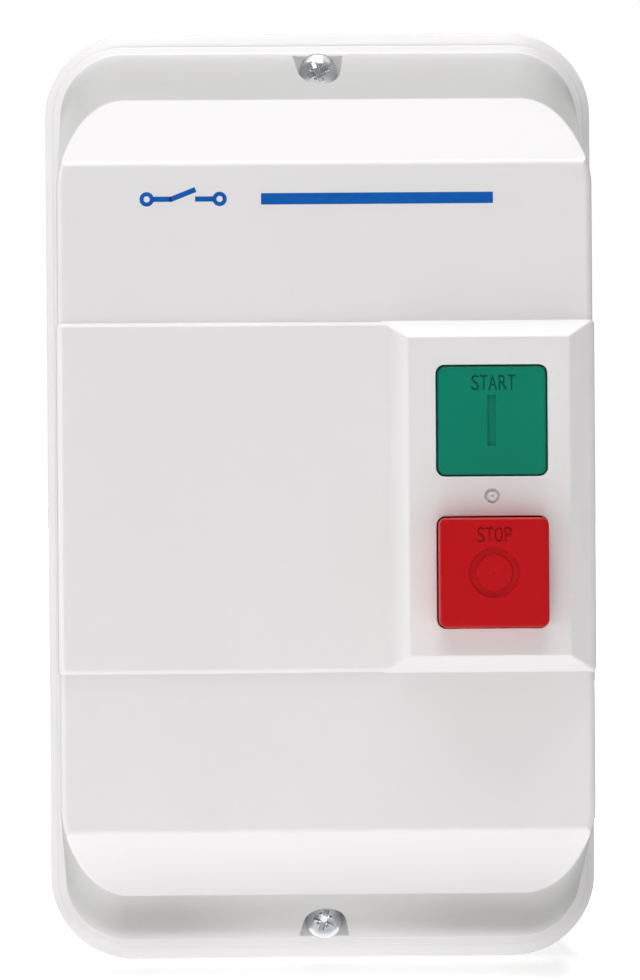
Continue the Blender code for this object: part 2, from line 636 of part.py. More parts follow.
# ---- thermal overload relay ----
# depth, half x, half z, corner radius
RELAY_FRONT_ROWS = [(77.0, UNIT_HALF_X, 17.5, 0.3), (91.0, UNIT_HALF_X, 17.5, 0.3),
                    (92.0, 21.5, 16.5, 0.3)]


def relay_housing():
    relay = box(UNIT_X0, UNIT_X1, 24.0, 78.0, -52.0, -1.0)
    join(relay, moulding(RELAY_FRONT_ROWS, CONTACTOR_X, -18.5, 1))
    cut(relay, box(UNIT_X0 + 3.5, UNIT_X1 - 3.5, 32.0, 73.0, -34.0, -6.0))
    for x in POLES:                            # conductor channels and screw holes
        cut(relay, box(x - 4.7, x + 4.7, 63.9, 73.9, -60.0, 5.0))
        cut(relay, box(x - 4.7, x + 4.7, 63.8, 85.0, -60.0, -37.5))
        cut(relay, rod(2.1, 54.0, 66.0, x, OUTPUT_Z, 10))
    cut(relay, rod(5.4, 88.0, 95.0, DIAL_X, DIAL_Z, 20))
    cut(relay, rod(3.1, 77.4, 95.0, BUTTON_X, -BUTTON_Z, 14))
    cut(relay, box(15.6, 24.0, 89.0, 95.0, SLIDER_Z - 1.6, SLIDER_Z + 1.6))
    for z in (DIAL_Z - 8.3, DIAL_Z + 8.3):     # ears of the dial cover
        join(relay, box(-3.5, -0.6, 90.0, 95.8, z - 0.9, z + 0.9))
        cut(relay, hinge_pin(0.75, z - 1.9, z + 1.9, 10))
    finish(relay, "relay_housing", IVORY)


def relay_conductors():
    for number, x in enumerate(POLES, 1):
        conductor = box(x - 2.8, x + 2.8, 65.8, 67.2, -51.0, 14.5)
        join(conductor, box(x - 4.2, x + 4.2, 64.3, 67.0, -51.2, -38.6))
        join(conductor, box(x - 2.5, x + 2.5, 37.0, 66.5, -20.6, -19.3))
        join(conductor, box(x - 3.7, x + 3.7, 44.0, 60.0, -22.5, -17.4))
        cut(conductor, *[rod(2.15, 62.0, 69.0, x, z, 10) for z in (LOAD_Z, OUTPUT_Z)])
        finish(conductor, f"relay_conductor_{number}", COPPER)


def current_dial():
    dial = turned([(88.3, 5.0), (92.4, 5.0), (92.8, 4.6)], DIAL_X, DIAL_Z, 20)
    arrow = [(-0.7, -3.0), (0.7, -3.0), (0.7, 1.6), (0.0, 3.2), (-0.7, 1.6)]
    arrow = [(DIAL_X + x, DIAL_Z + z) for x, z in arrow]
    cut(dial, loft([at_depth(depth, arrow) for depth in (91.6, 94.0)]))
    finish(dial, "current_dial", WHITE, (DIAL_X, 88.3, DIAL_Z))


def dial_cover():
    z0, z1 = DIAL_Z - 7.0, DIAL_Z + 7.0
    flap = box(-1.4, 10.8, 93.9, 94.9, z0, z1)
    join(flap, hinge_pin(0.95, z0, z1, 10))
    join(flap, hinge_pin(0.5, z0 - 1.9, z1 + 1.9, 8))
    finish(flap, "dial_cover", CLEAR, (HINGE_X, HINGE_DEPTH, DIAL_Z))


def relay_controls():
    profile = [(82.8, 2.3), (83.2, 2.7), (96.6, 2.7), (97.0, 2.3)]
    plunger = turned(profile, BUTTON_X, -BUTTON_Z, 14)
    finish(plunger, "reset_plunger", BLUE, (BUTTON_X, 92.0, -BUTTON_Z))
    slider = centred_box(SLIDER_X, SLIDER_Z, 1.7, 1.3, 89.3, 91.4)
    join(slider, centred_box(SLIDER_X, SLIDER_Z, 0.9, 0.9, 91.0, 92.9))
    finish(slider, "test_slider", RED, (SLIDER_X, 91.4, SLIDER_Z))


# ---- control wiring: corners (x, depth, z) ----
COIL_WIRE = [(-6.9, 57.0, 60.0), (-13.0, 57.0, 60.0), (-13.0, 57.0, -40.0), (-6.9, 57.0, -40.0)]
START_WIRE = [(25.5, 87.4, 12.0), (-10.4, 87.4, 12.0), (-10.4, 62.0, 12.0), (-10.4, 62.0, 32.0),
              (-6.9, 62.0, 32.0)]


def wiring():
    finish(sweep(rounded_path(COIL_WIRE, 4.0), 1.1, 7), "wire_coil", WIRE)
    finish(sweep(rounded_path(START_WIRE, 3.0), 1.1, 7), "wire_start", RED)


rear_case()
finish(moulding(GASKET_ROWS, segments=5, ring=True), "cover_gasket", RUBBER)
front_cover()
cover_fasteners()
start_button()
stop_button()
button_mounting()
start_contact()
din_rail()
earth_terminal()
base_screws()
contactor_base()
contactor_body()
magnet()
moving_contacts()
terminals()
clamp_screws()
relay_housing()
relay_conductors()
current_dial()
dial_cover()
relay_controls()
wiring()
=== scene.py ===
"""Looks of the enclosed motor starter: finished mouldings, buttons, screws and fittings built round
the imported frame, with procedural materials, a pale floor and soft studio light.

The starter stands upright (+z up), its back on the wall plane y = 0 and its front towards -y.
Places are (x, d, z) in millimetres, where d is the distance forward of the wall plane (d = -y).
"""

import math
from contextlib import contextmanager

import bmesh
import bpy
from mathutils import Matrix, Vector


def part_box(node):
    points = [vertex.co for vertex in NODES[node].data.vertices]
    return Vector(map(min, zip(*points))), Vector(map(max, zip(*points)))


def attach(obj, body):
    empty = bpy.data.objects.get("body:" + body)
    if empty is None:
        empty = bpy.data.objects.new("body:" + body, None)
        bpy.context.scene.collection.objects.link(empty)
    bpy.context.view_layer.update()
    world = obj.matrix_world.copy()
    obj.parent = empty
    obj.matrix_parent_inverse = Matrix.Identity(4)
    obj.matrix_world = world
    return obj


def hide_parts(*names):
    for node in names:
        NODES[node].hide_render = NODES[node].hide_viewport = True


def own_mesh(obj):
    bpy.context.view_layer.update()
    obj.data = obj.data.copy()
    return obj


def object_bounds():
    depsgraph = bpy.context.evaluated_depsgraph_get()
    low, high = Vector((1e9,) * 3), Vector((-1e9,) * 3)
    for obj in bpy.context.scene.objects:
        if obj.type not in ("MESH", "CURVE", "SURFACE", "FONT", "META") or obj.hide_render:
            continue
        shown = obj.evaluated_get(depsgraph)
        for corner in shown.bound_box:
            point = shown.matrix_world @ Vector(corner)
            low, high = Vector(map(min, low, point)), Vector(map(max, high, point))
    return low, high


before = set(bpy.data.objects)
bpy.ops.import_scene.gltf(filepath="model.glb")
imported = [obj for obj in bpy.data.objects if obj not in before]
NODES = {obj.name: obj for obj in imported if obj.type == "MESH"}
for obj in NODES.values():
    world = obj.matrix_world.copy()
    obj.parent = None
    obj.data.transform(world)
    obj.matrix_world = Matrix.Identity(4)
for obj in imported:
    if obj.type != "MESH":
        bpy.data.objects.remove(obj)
CAD_BOX = [list(corner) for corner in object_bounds()]
MM = 0.001


# ---- places taken from the frame -----------------------------------------------------------------
def mm_box(node):
    """A node's box at rest as x0, x1, d0, d1, z0, z1 in millimetres."""
    lo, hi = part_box(node)
    return lo.x / MM, hi.x / MM, -hi.y / MM, -lo.y / MM, lo.z / MM, hi.z / MM


def centre(node):
    x0, x1, _, _, z0, z1 = mm_box(node)
    return (x0 + x1) / 2, (z0 + z1) / 2


def front(node):
    return mm_box(node)[3]


BUTTON_X, BUTTON_Z = centre("start_button")            # the stop button is at -BUTTON_Z
START_D, STOP_D = front("start_button"), front("stop_button")
SCREW_Z, SCREW_TOP_D = centre("cover_screw_top")[1], front("cover_screw_top")
x0, x1, _, _, z0, z1 = mm_box("rear_case")
CASE_HALF_X, CASE_HALF_Z = (x1 - x0) / 2, (z1 - z0) / 2
MID_X, RAIL_Z = centre("contactor_body")               # MID_X is also the middle of the relay
POLES = [centre(f"line_terminal_l{i}")[0] for i in (1, 2, 3)]

# ---- driving dimensions --------------------------------------------------------------------------
CASE_CORNER, WALL = 17.0, 2.6
FLANGE_HALF_X, FLANGE_HALF_Z, FLANGE_CORNER = 54.4, 92.3, 14.5
FRONT_D, PANEL_D = 112.0, 115.25
SHOULDER_Z, SHOULDER_D, SHOULDER_FOOT_Z = 64.8, 92.0, 78.5
SLOPE_D, SLOPE_Z = FRONT_D - SHOULDER_D, SHOULDER_Z - SHOULDER_FOOT_Z    # along the shoulder
BAND_Z, BAND_H = 34.05, 0.8                            # raised band across the front
PANEL_X0, PANEL_X1, PANEL_Z = 15.9, 47.1, 30.8         # raised panel round the buttons
OPENING, CAP = 10.8, 10.55                             # half widths of button opening and cap
SYMBOL_Z = 57.9
SCREW_SEAT_D = 46.8
DIAL_X, DIAL_Z = 5.0, -24.0
HINGE_X, HINGE_D = -2.0, 94.4                          # pin of the dial window
RELAY_FRONT_Z = -18.5
MARKING_X, RELAY_MARKING = 14.6, (24.6, -27.6)         # marking plates: offset, then x and z
CABLE_X, CABLE_D = 22.0, 19.0                          # knock-outs in the end walls


# ---- geometry helpers ----------------------------------------------------------------------------
def linked(name, data):
    """A new object in the scene."""
    ob = bpy.data.objects.new(name, data)
    bpy.context.scene.collection.objects.link(ob)
    return ob


@contextmanager
def editing(mesh):
    bm = bmesh.new()
    bm.from_mesh(mesh)
    yield bm
    bm.to_mesh(mesh)
    bm.free()


def solid(verts, faces):
    mesh = bpy.data.meshes.new("tmp")
    mesh.from_pydata([(x * MM, -d * MM, z * MM) for x, d, z in verts], [], faces)
    with editing(mesh) as bm:
        bmesh.ops.recalc_face_normals(bm, faces=bm.faces)
    return linked("tmp", mesh)


def loft(loops, ring=False):
    """Joins loops of equal count, with end caps, or closed into a ring."""
    count, last = len(loops[0]), len(loops) - 1
    faces = []
    for a, b in [(i, i + 1) for i in range(last)] + ([(last, 0)] if ring else []):
        for k in range(count):
            j = (k + 1) % count
            faces.append((a * count + k, a * count + j, b * count + j, b * count + k))
    if not ring:
        faces.append(tuple(range(count))[::-1])
        faces.append(tuple(last * count + k for k in range(count)))
    return solid([point for loop in loops for point in loop], faces)


def circle(radius, count, u=0.0, v=0.0, start=0.0):
    """Points round (u, v)."""
    angles = [start + 2 * math.pi * k / count for k in range(count)]
    return [(u + radius * math.cos(a), v + radius * math.sin(a)) for a in angles]


def round_rect(half_x, half_z, corner, x=0.0, z=0.0, seg=16):
    points = []
    for sx, sz, start in ((1, 1, 0.0), (-1, 1, 90.0), (-1, -1, 180.0), (1, -1, 270.0)):
        for k in range(seg + 1):
            a = math.radians(start + 90.0 * k / seg)
            points.append((x + sx * (half_x - corner) + corner * math.cos(a),
                           z + sz * (half_z - corner) + corner * math.sin(a)))
    return points


def angled_rect(x, z, angle, start, end, half_width):
    """A rectangle from start to end along a ray that leaves (x, z) at angle."""
    c, s = math.cos(angle), math.sin(angle)
    corners = ((start, -half_width), (end, -half_width), (end, half_width), (start, half_width))
    return [(x + p * c - q * s, z + p * s + q * c) for p, q in corners]


def at(d, points):
    return [(x, d, z) for x, z in points]


def stack(rows, x=0.0, z=0.0, seg=16):
    """A loft of rounded rectangles. Rows are d, half x, half z, corner radius."""
    return loft([at(d, round_rect(half_x, half_z, corner, x, z, seg))
                 for d, half_x, half_z, corner in rows])


def edge_rows(d, half_x, half_z, corner, radius, steps, first=False):
    """Rows that turn the corner from the side wall onto the end face at d, on a radius."""
    rows = []
    for k in range(0 if first else 1, steps + 1):
        a = math.radians(90.0 * k / steps)
        off = radius * (1 - math.cos(a))
        rows.append((d - radius * (1 - math.sin(a)), half_x - off, half_z - off,
                     max(corner - off, 0.05)))
    return rows


def prism_x(x0, x1, points):
    return loft([[(x, d, z) for d, z in points] for x in (x0, x1)])


def prism_d(d0, d1, points):
    return loft([at(d, points) for d in (d0, d1)])


def box(x0, x1, d0, d1, z0, z1):
    return prism_d(d0, d1, [(x0, z0), (x1, z0), (x1, z1), (x0, z1)])


def slab(x, z, half_x, half_z, d0, d1):
    return box(x - half_x, x + half_x, d0, d1, z - half_z, z + half_z)


def turned(profile, x, z, count=48, ring=False):
    """Turned about a front-to-back axis. The profile is d, radius."""
    return loft([at(d, circle(r, count, x, z, math.pi / count)) for d, r in profile], ring)


def turned_z(profile, x, d, count, ring=False):
    """Turned about an upright axis. The profile is z, radius."""
    return loft([[(u, v, z) for u, v in circle(r, count, x, d)] for z, r in profile], ring)


def rod(radius, d0, d1, x, z, count=40):
    return turned([(d0, radius), (d1, radius)], x, z, count)


def evaluated_mesh(ob):
    bpy.context.view_layer.update()
    return bpy.data.meshes.new_from_object(ob.evaluated_get(bpy.context.evaluated_depsgraph_get()))


def applied(ob):
    """Applies every modifier of ob to its mesh."""
    mesh = evaluated_mesh(ob)
    ob.modifiers.clear()
    ob.data = mesh
    return ob


def modifier(ob, name, kind, **settings):
    new = ob.modifiers.new(name, kind)
    for key, value in settings.items():
        setattr(new, key, value)


def boolean(target, tools, operation):
    for tool in tools:
        modifier(target, "b", "BOOLEAN", operation=operation, object=tool, solver="EXACT")
        applied(target)
        bpy.data.objects.remove(tool, do_unlink=True)
    return target


def cut(target, *tools):
    return boolean(target, tools, "DIFFERENCE")


def join(target, *tools):
    return boolean(target, tools, "UNION")


def tidy(ob, dist=0.002):
    """Merges points closer than dist and drops faces with no area."""
    with editing(ob.data) as bm:
        bmesh.ops.remove_doubles(bm, verts=bm.verts, dist=dist * MM)
        bmesh.ops.dissolve_degenerate(bm, edges=bm.edges, dist=dist * MM)
        bmesh.ops.recalc_face_normals(bm, faces=bm.faces)


def sweep(path, radius, count):
    """A round bar along a path, its section carried along without twist."""
    points = [Vector(p) for p in path]
    last = len(points) - 1
    ways = [(points[min(i + 1, last)] - points[max(i - 1, 0)]).normalized()
            for i in range(last + 1)]
    side = Vector((0.31, 0.77, 0.55))                  # any direction not along the path
    loops = []
    for point, way in zip(points, ways):
        side = (side - way * side.dot(way)).normalized()
        other = way.cross(side)
        loops.append([tuple(point + side * a + other * b) for a, b in circle(radius, count)])
    return loft(loops)


def rounded_path(corners, radius, seg):
    path = [Vector(corners[0])]
    for a, b, c in zip(corners, corners[1:], corners[2:]):
        a, b, c = Vector(a), Vector(b), Vector(c)
        p, q = b + (a - b).normalized() * radius, b + (c - b).normalized() * radius
        for k in range(seg + 1):
            t = k / seg
            path.append(p * (1 - t) ** 2 + b * 2 * t * (1 - t) + q * t * t)
    path.append(Vector(corners[-1]))
    return path


def coil_spring(x, z, d0, d1, radius, wire, turns, steps, sides):
    """A helix from d0 to d1 with close-wound ends. wire is the wire's radius."""
    lo, hi = d0 + wire, d1 - wire
    closed, pitch = 0.85, 2.1 * wire                   # turns in each end, and their pitch
    path = []
    for k in range(int(turns * steps) + 1):
        t = k / steps
        if t < closed:
            rise = t / closed * pitch
        elif t > turns - closed:
            rise = (hi - lo) - (turns - t) / closed * pitch
        else:
            rise = pitch + (t - closed) / (turns - 2 * closed) * ((hi - lo) - 2 * pitch)
        a = 2 * math.pi * t
        path.append((x + radius * math.cos(a), lo + rise, z + radius * math.sin(a)))
    return sweep(path, wire, sides)


def lettering(letter, width, height, x, z, d0, d1):
    """A solid letter, width by height, from d0 to d1, read from the front."""
    curve = bpy.data.curves.new(letter, "FONT")
    curve.body = letter
    curve.align_x, curve.align_y = "LEFT", "BOTTOM"
    curve.extrude, curve.resolution_u, curve.fill_mode = 0.5, 5, "NONE"
    text = linked("lettering", curve)
    mesh = evaluated_mesh(text)
    bpy.data.objects.remove(text, do_unlink=True)
    with editing(mesh) as bm:
        xs = [v.co.x for v in bm.verts]
        ys = [v.co.y for v in bm.verts]
        x0, x1, y0, y1 = min(xs), max(xs), min(ys), max(ys)
        for v in bm.verts:
            new_x = x + ((v.co.x - x0) / (x1 - x0) - 0.5) * width
            new_z = z + ((v.co.y - y0) / (y1 - y0) - 0.5) * height
            new_d = d0 + (v.co.z + 0.5) * (d1 - d0)
            v.co = (new_x * MM, -new_d * MM, new_z * MM)
        bmesh.ops.remove_doubles(bm, verts=bm.verts, dist=0.002 * MM)
        for d in (d0, d1):                             # close the open front and back
            rim = [e for e in bm.edges if len(e.link_faces) == 1
                   and all(abs(v.co.y + d * MM) < 0.01 * MM for v in e.verts)]
            bmesh.ops.triangle_fill(bm, use_beauty=True, use_dissolve=False, edges=rim)
        bmesh.ops.recalc_face_normals(bm, faces=bm.faces)
    return linked("lettering", mesh)


# ---- node graphs ---------------------------------------------------------------------------------
class Graph:
    """A short way to write the node tree of a material or world."""

    def __init__(self, owner):
        owner.use_nodes = True
        self.tree = owner.node_tree

    def put(self, socket, value):
        """Links or sets a socket. A colour of three numbers is made opaque."""
        if isinstance(value, bpy.types.NodeSocket):
            self.tree.links.new(value, socket)
            return
        if socket.type == "RGBA" and len(value) == 3:
            value = (*value, 1.0)
        socket.default_value = value

    def node(self, kind, **settings):
        """Adds a node. Each setting is an input, or else a property of the node."""
        new = self.tree.nodes.new("ShaderNode" + kind)
        for name, value in settings.items():
            key = name.replace("_", " ")
            if key in new.inputs:
                self.put(new.inputs[key], value)
            else:
                setattr(new, name, value)
        return new

    def remap(self, value, span, to=(0.0, 1.0), smooth=False):
        """Maps span onto to, held at the ends."""
        new = self.node("MapRange", clamp=True)
        if smooth:
            new.interpolation_type = "SMOOTHSTEP"
        for i, v in enumerate((value, *span, *to)):
            self.put(new.inputs[i], v)
        return new.outputs["Result"]

    def math(self, operation, a, b=0.0):
        new = self.node("Math", operation=operation)
        self.put(new.inputs[0], a)
        self.put(new.inputs[1], b)
        return new.outputs[0]

    def times(self, a, b):
        return self.math("MULTIPLY", a, b)

    def mix(self, factor, a, b):
        return self.node("Mix", data_type="RGBA", Factor=factor, A=a, B=b).outputs["Result"]

    def mix_shader(self, factor, a, b):
        new = self.node("MixShader")
        for i, v in enumerate((factor, a, b)):
            self.put(new.inputs[i], v)
        return new.outputs[0]

    def ray(self, kind):
        return self.node("LightPath").outputs[kind]


class Surface(Graph):
    """A material on the Principled shader, with textures in object coordinates (metres)."""

    def __init__(self, name):
        self.material = bpy.data.materials.new(name)
        super().__init__(self.material)
        self.bsdf = self.tree.nodes["Principled BSDF"]
        self.place = self.node("TexCoord").outputs["Object"]

    def noise(self, scale, detail=2.0, rough=0.5, stretch=None):
        where = self.place
        if stretch:
            where = self.node("Mapping", Vector=where, Scale=stretch).outputs["Vector"]
        new = self.node("TexNoise", Vector=where, Scale=scale, Detail=detail, Roughness=rough)
        return new.outputs["Fac"]

    def waves(self, scale, distortion, detail, axis):
        return self.node("TexWave", Vector=self.place, Scale=scale, Distortion=distortion,
                         Detail=detail, bands_direction=axis).outputs["Fac"]

    def bump(self, height, distance, strength, **normal):
        new = self.node("Bump", Height=height, Distance=distance, Strength=strength, **normal)
        return new.outputs["Normal"]

    def soft_edge(self, radius):
        return self.node("Bevel", samples=4, Radius=radius).outputs["Normal"]

    def set(self, **inputs):
        for name, value in inputs.items():
            self.put(self.bsdf.inputs[name.replace("_", " ")], value)


# ---- materials -----------------------------------------------------------------------------------
def shade(rgb, factor):
    return tuple(min(1.0, c * factor) for c in rgb)


def plastic(name, rgb, rough, grain, mottle, hollow_shade, spec=0.5, edge=0.00012, sides=1.0):
    """Moulded plastic: flow mottle in the colour, fine grain, uneven sheen and painted shade
    in hollows.

    edge is the radius in metres that edges are softened to. sides below 1 paints shade into the
    colour of the side and end walls.
    """
    g = Surface(name)
    flow = g.noise(scale=38.0, detail=3.0, rough=0.55, stretch=(1.0, 1.0, 0.45))
    fine = g.noise(scale=900.0, rough=0.6)
    tone = g.mix(g.remap(flow, span=(0.3, 0.7)), shade(rgb, 1 - mottle), shade(rgb, 1 + mottle))
    specks = g.remap(fine, span=(0.35, 0.75), to=(0.0, 0.35))
    tone = g.mix(specks, tone, shade(rgb, 1 - mottle * 1.5))
    # painted shade: walls that turn away from the front get a darker colour
    if sides < 1.0:
        split = g.node("SeparateXYZ", Vector=g.node("TexCoord").outputs["Normal"])
        facing = g.math("ABSOLUTE", split.outputs["Y"])
        wall = g.remap(facing, span=(0.30, 0.50), to=(1.0, 0.0))
        tone = g.mix(wall, tone, tuple(c * k for c, k in zip(rgb, (sides, sides * 1.012, sides))))
    # painted shade: the colour darkens where ambient occlusion finds a hollow or a crease
    hollow = g.node("AmbientOcclusion", samples=4, Distance=0.004).outputs["AO"]
    tone = g.mix(g.remap(hollow, span=(0.25, 0.85), to=(hollow_shade, 0.0)), tone, shade(rgb, 0.45))
    sheen = g.noise(scale=60.0, detail=4.0, rough=0.6)
    grains = g.math("ADD", g.noise(scale=2600.0, rough=0.55),
                    g.times(g.noise(scale=5200.0, detail=1.0), 0.5))
    g.set(Base_Color=tone, IOR=1.48, Specular_IOR_Level=spec,
          Roughness=g.remap(sheen, span=(0.3, 0.75), to=(rough - 0.05, rough + 0.07)),
          Normal=g.bump(grains, distance=0.00002, strength=grain, Normal=g.soft_edge(edge)))
    return g.material


def metal(name, rgb, rough, scratch=0.25, streak=(1.0, 1.0, 1.0), tint=None):
    """Metal with fine marks, a cloudy tint and brighter edges.

    streak is the scale of the marks on each axis, low along their direction.
    """
    g = Surface(name)
    lines = g.noise(scale=1400.0, detail=3.0, rough=0.6, stretch=streak)
    cloud = g.noise(scale=160.0, detail=3.0)
    tone = g.mix(g.remap(cloud, span=(0.3, 0.7)), shade(rgb, 0.90), tint or shade(rgb, 1.04))
    edge = g.node("NewGeometry").outputs["Pointiness"]
    tone = g.mix(g.remap(edge, span=(0.52, 0.60)), tone, shade(rgb, 1.18))
    g.set(Base_Color=tone, Metallic=1.0,
          Roughness=g.remap(lines, span=(0.25, 0.8), to=(rough * 0.7, rough * 1.5)),
          Normal=g.bump(lines, distance=0.00001, strength=scratch, Normal=g.soft_edge(0.00008)))
    return g.material


def rubber(name, rgb, rough):
    g = Surface(name)
    cloud = g.remap(g.noise(scale=300.0, detail=3.0), span=(0.35, 0.7))
    sheen = g.noise(scale=500.0)
    grain = g.noise(scale=2200.0, detail=3.0, rough=0.6)
    g.set(Base_Color=g.mix(cloud, shade(rgb, 0.8), shade(rgb, 1.5)),
          Roughness=g.remap(sheen, span=(0.3, 0.7), to=(rough - 0.1, rough + 0.1)),
          Normal=g.bump(grain, distance=0.00003, strength=0.5))
    return g.material


def ink(name, rgb):
    """Printed ink with slightly uneven cover."""
    g = Surface(name)
    cover = g.remap(g.noise(scale=700.0, detail=3.0, rough=0.6), span=(0.35, 0.7))
    g.set(Base_Color=g.mix(cover, shade(rgb, 0.94), shade(rgb, 1.08)), Specular_IOR_Level=0.2,
          Roughness=g.remap(g.noise(scale=400.0), span=(0.3, 0.7), to=(0.34, 0.46)),
          Normal=g.bump(g.noise(scale=3000.0), distance=0.00001, strength=0.3))
    return g.material


def laminated(name, rgb):
    """A stack of core sheets: thin lines across the stack and patches of slight rust."""
    g = Surface(name)
    sheets = g.waves(scale=150.0, distortion=0.6, detail=2.0, axis="X")
    rust = g.remap(g.noise(scale=220.0, detail=4.0, rough=0.65), span=(0.56, 0.72))
    tone = g.mix(sheets, shade(rgb, 0.75), shade(rgb, 1.1))
    g.set(Base_Color=g.mix(g.times(rust, 0.5), tone, (0.23, 0.11, 0.05)),
          Metallic=g.remap(rust, span=(0.0, 1.0), to=(1.0, 0.5)),
          Roughness=g.remap(rust, span=(0.0, 1.0), to=(0.36, 0.7)),
          Normal=g.bump(sheets, distance=0.00005, strength=0.6, Normal=g.soft_edge(0.0001)))
    return g.material


def wound(name, rgb):
    """Enamelled wire in even layers."""
    g = Surface(name)
    turns = g.waves(scale=420.0, distortion=0.15, detail=1.0, axis="Y")
    g.set(Base_Color=g.mix(turns, shade(rgb, 0.5), shade(rgb, 1.1)), Metallic=0.85,
          Roughness=0.32, Normal=g.bump(turns, distance=0.00012, strength=0.9))
    return g.material


def clear(name, rgb):
    g = Surface(name)
    haze = g.noise(scale=240.0, detail=3.0, rough=0.6)
    g.set(Base_Color=rgb, Transmission_Weight=0.94, IOR=1.49,
          Roughness=g.remap(haze, span=(0.3, 0.8), to=(0.03, 0.12)),
          Normal=g.bump(haze, distance=0.00002, strength=0.2, Normal=g.soft_edge(0.0002)))
    return g.material


SHELL = (0.742, 0.728, 0.731)
ALONG_X, ALONG_Z = (0.03, 1.0, 1.0), (1.0, 1.0, 0.05)
# every plastic here paints shade into the colour of its hollows
MATERIALS = {
    # the cover's plastic also paints shade on its side and end walls
    "case": plastic("abs_light_grey", SHELL, rough=0.40, grain=0.16, mottle=0.008, hollow_shade=0.07,
                    edge=0.00022, sides=0.80),
    "rear": plastic("abs_light_grey_rear", shade(SHELL, 1.01), rough=0.42, grain=0.2,
                    mottle=0.01, hollow_shade=0.10, edge=0.00022),
    "green": plastic("button_green", (0.0, 0.202, 0.126), rough=0.33, grain=0.12, mottle=0.03,
                     hollow_shade=0.07, spec=0.2, edge=0.00010),
    "red": plastic("button_red", (0.468, 0.001, 0.004), rough=0.33, grain=0.12, mottle=0.03,
                   hollow_shade=0.07, spec=0.2, edge=0.00010),
    "zinc": metal("bright_zinc", (0.80, 0.81, 0.82), rough=0.14, scratch=0.12,
                  tint=(0.80, 0.82, 0.86)),
    "rail": metal("rolled_zinc_strip", (0.66, 0.67, 0.68), rough=0.30, scratch=0.4,
                  streak=ALONG_X, tint=(0.72, 0.72, 0.66)),
    "brass": metal("drawn_brass", (0.76, 0.57, 0.27), rough=0.27, streak=ALONG_Z,
                   tint=(0.70, 0.49, 0.22)),
    "copper": metal("copper_strip", (0.80, 0.42, 0.27), rough=0.30, streak=ALONG_Z,
                    tint=(0.66, 0.33, 0.20)),
    "spring": metal("spring_wire", (0.62, 0.63, 0.65), rough=0.22, scratch=0.1),
    "rubber": rubber("moulded_rubber", (0.025, 0.025, 0.027), rough=0.75),
    "dark": plastic("dark_nylon", (0.040, 0.042, 0.046), rough=0.46, grain=0.5, mottle=0.12,
                    hollow_shade=0.2),
    "ivory": plastic("ivory_polyamide", (0.70, 0.675, 0.60), rough=0.48, grain=0.4,
                     mottle=0.025, hollow_shade=0.25),
    "white": plastic("white_polyamide", (0.78, 0.78, 0.75), rough=0.45, grain=0.3, mottle=0.02,
                     hollow_shade=0.2),
    "blue": plastic("blue_polyamide", (0.015, 0.105, 0.40), rough=0.38, grain=0.2, mottle=0.05,
                    hollow_shade=0.2),
    "ink": ink("blue_print", (0.0, 0.096, 0.405)),
    "core": laminated("core_sheets", (0.38, 0.39, 0.40)),
    "winding": wound("enamelled_wire", (0.60, 0.22, 0.09)),
    "clear": clear("clear_polycarbonate", (0.86, 0.92, 0.94)),
    "wire": rubber("wire_sleeve_black", (0.018, 0.018, 0.02), rough=0.42),
    "wire_red": rubber("wire_sleeve_red", (0.42, 0.018, 0.02), rough=0.42),
}


def piece(ob, name, look, body, *stands_for, angle=30.0, weighted=True):
    """Names a finished piece, shades it, and puts it on its body."""
    tidy(ob)
    ob.name = ob.data.name = name
    ob.data.materials.clear()
    ob.data.materials.append(MATERIALS[look])
    ob.data.shade_smooth()
    ob.data.set_sharp_from_angle(angle=math.radians(angle))
    if weighted:
        modifier(ob, "normals", "WEIGHTED_NORMAL", keep_sharp=True, weight=80)
    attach(ob, body)
    if stands_for:
        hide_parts(*stands_for)
    return ob


# ---- front cover ---------------------------------------------------------------------------------
def side_profile():
    """The cover seen from the side, with the edge between front and shoulder on a radius."""
    radius = 1.6
    turn = math.radians(90.0) - math.atan2(-SLOPE_Z, SLOPE_D)
    d, z = FRONT_D - radius, SHOULDER_Z - radius * math.tan(turn / 2)
    angles = [turn * i / 8 for i in range(9)]
    half = [(d + radius * math.cos(a), z + radius * math.sin(a)) for a in angles]
    far = (SHOULDER_D - 1.6 * SLOPE_D, SHOULDER_FOOT_Z - 1.6 * SLOPE_Z)
    half += [far, (30.0, far[1])]
    return half + [(d, -z) for d, z in reversed(half)]


def upper_solid():
    """The tapered body of the cover, its shoulders sloped and their arc edges softened."""
    rows = [(43.0, 52.75, 91.0, 12.85), (44.55, 52.72, 90.62, 12.82),
            (45.2, 52.69, 90.42, 12.79), (110.6, 51.85, 73.62, 13.2)]
    rows += edge_rows(FRONT_D, 51.85, 73.62, 13.2, radius=1.4, steps=5)
    ob = stack(rows)
    boolean(ob, [prism_x(-70.0, 70.0, side_profile())], "INTERSECT")
    tidy(ob, 0.1)
    with editing(ob.data) as bm:                       # the bevel fades in down the shoulder
        weight = bm.edges.layers.float.new("bevel_weight_edge")
        for e in bm.edges:
            if (len(e.link_faces) == 2 and e.calc_face_angle(0.0) > math.radians(14.5)
                    and min(-v.co.y for v in e.verts) > 60.0 * MM):
                below = min(abs(v.co.z) for v in e.verts) / MM - SHOULDER_Z - 1.2
                t = min(max(below / 3.0, 0.0), 1.0)
                e[weight] = t * t * (3 - 2 * t)
    modifier(ob, "r", "BEVEL", width=0.5 * MM, segments=3, limit_method="WEIGHT",
             use_clamp_overlap=False)
    applied(ob)
    with editing(ob.data) as bm:                       # weld stray points where the bevel starts
        stray = [v for v in bm.verts if 65.0 < abs(v.co.z) / MM < 65.2
                 and abs(v.co.x) / MM > 50.8 and -v.co.y / MM > 111.4]
        for v in stray:
            home = (math.copysign(50.709, v.co.x), -110.6, math.copysign(65.759, v.co.z))
            home = Vector(home) * MM
            near = min((w for w in bm.verts if w is not v), key=lambda w: (w.co - home).length)
            bmesh.ops.weld_verts(bm, targetmap={v: near})
    return ob


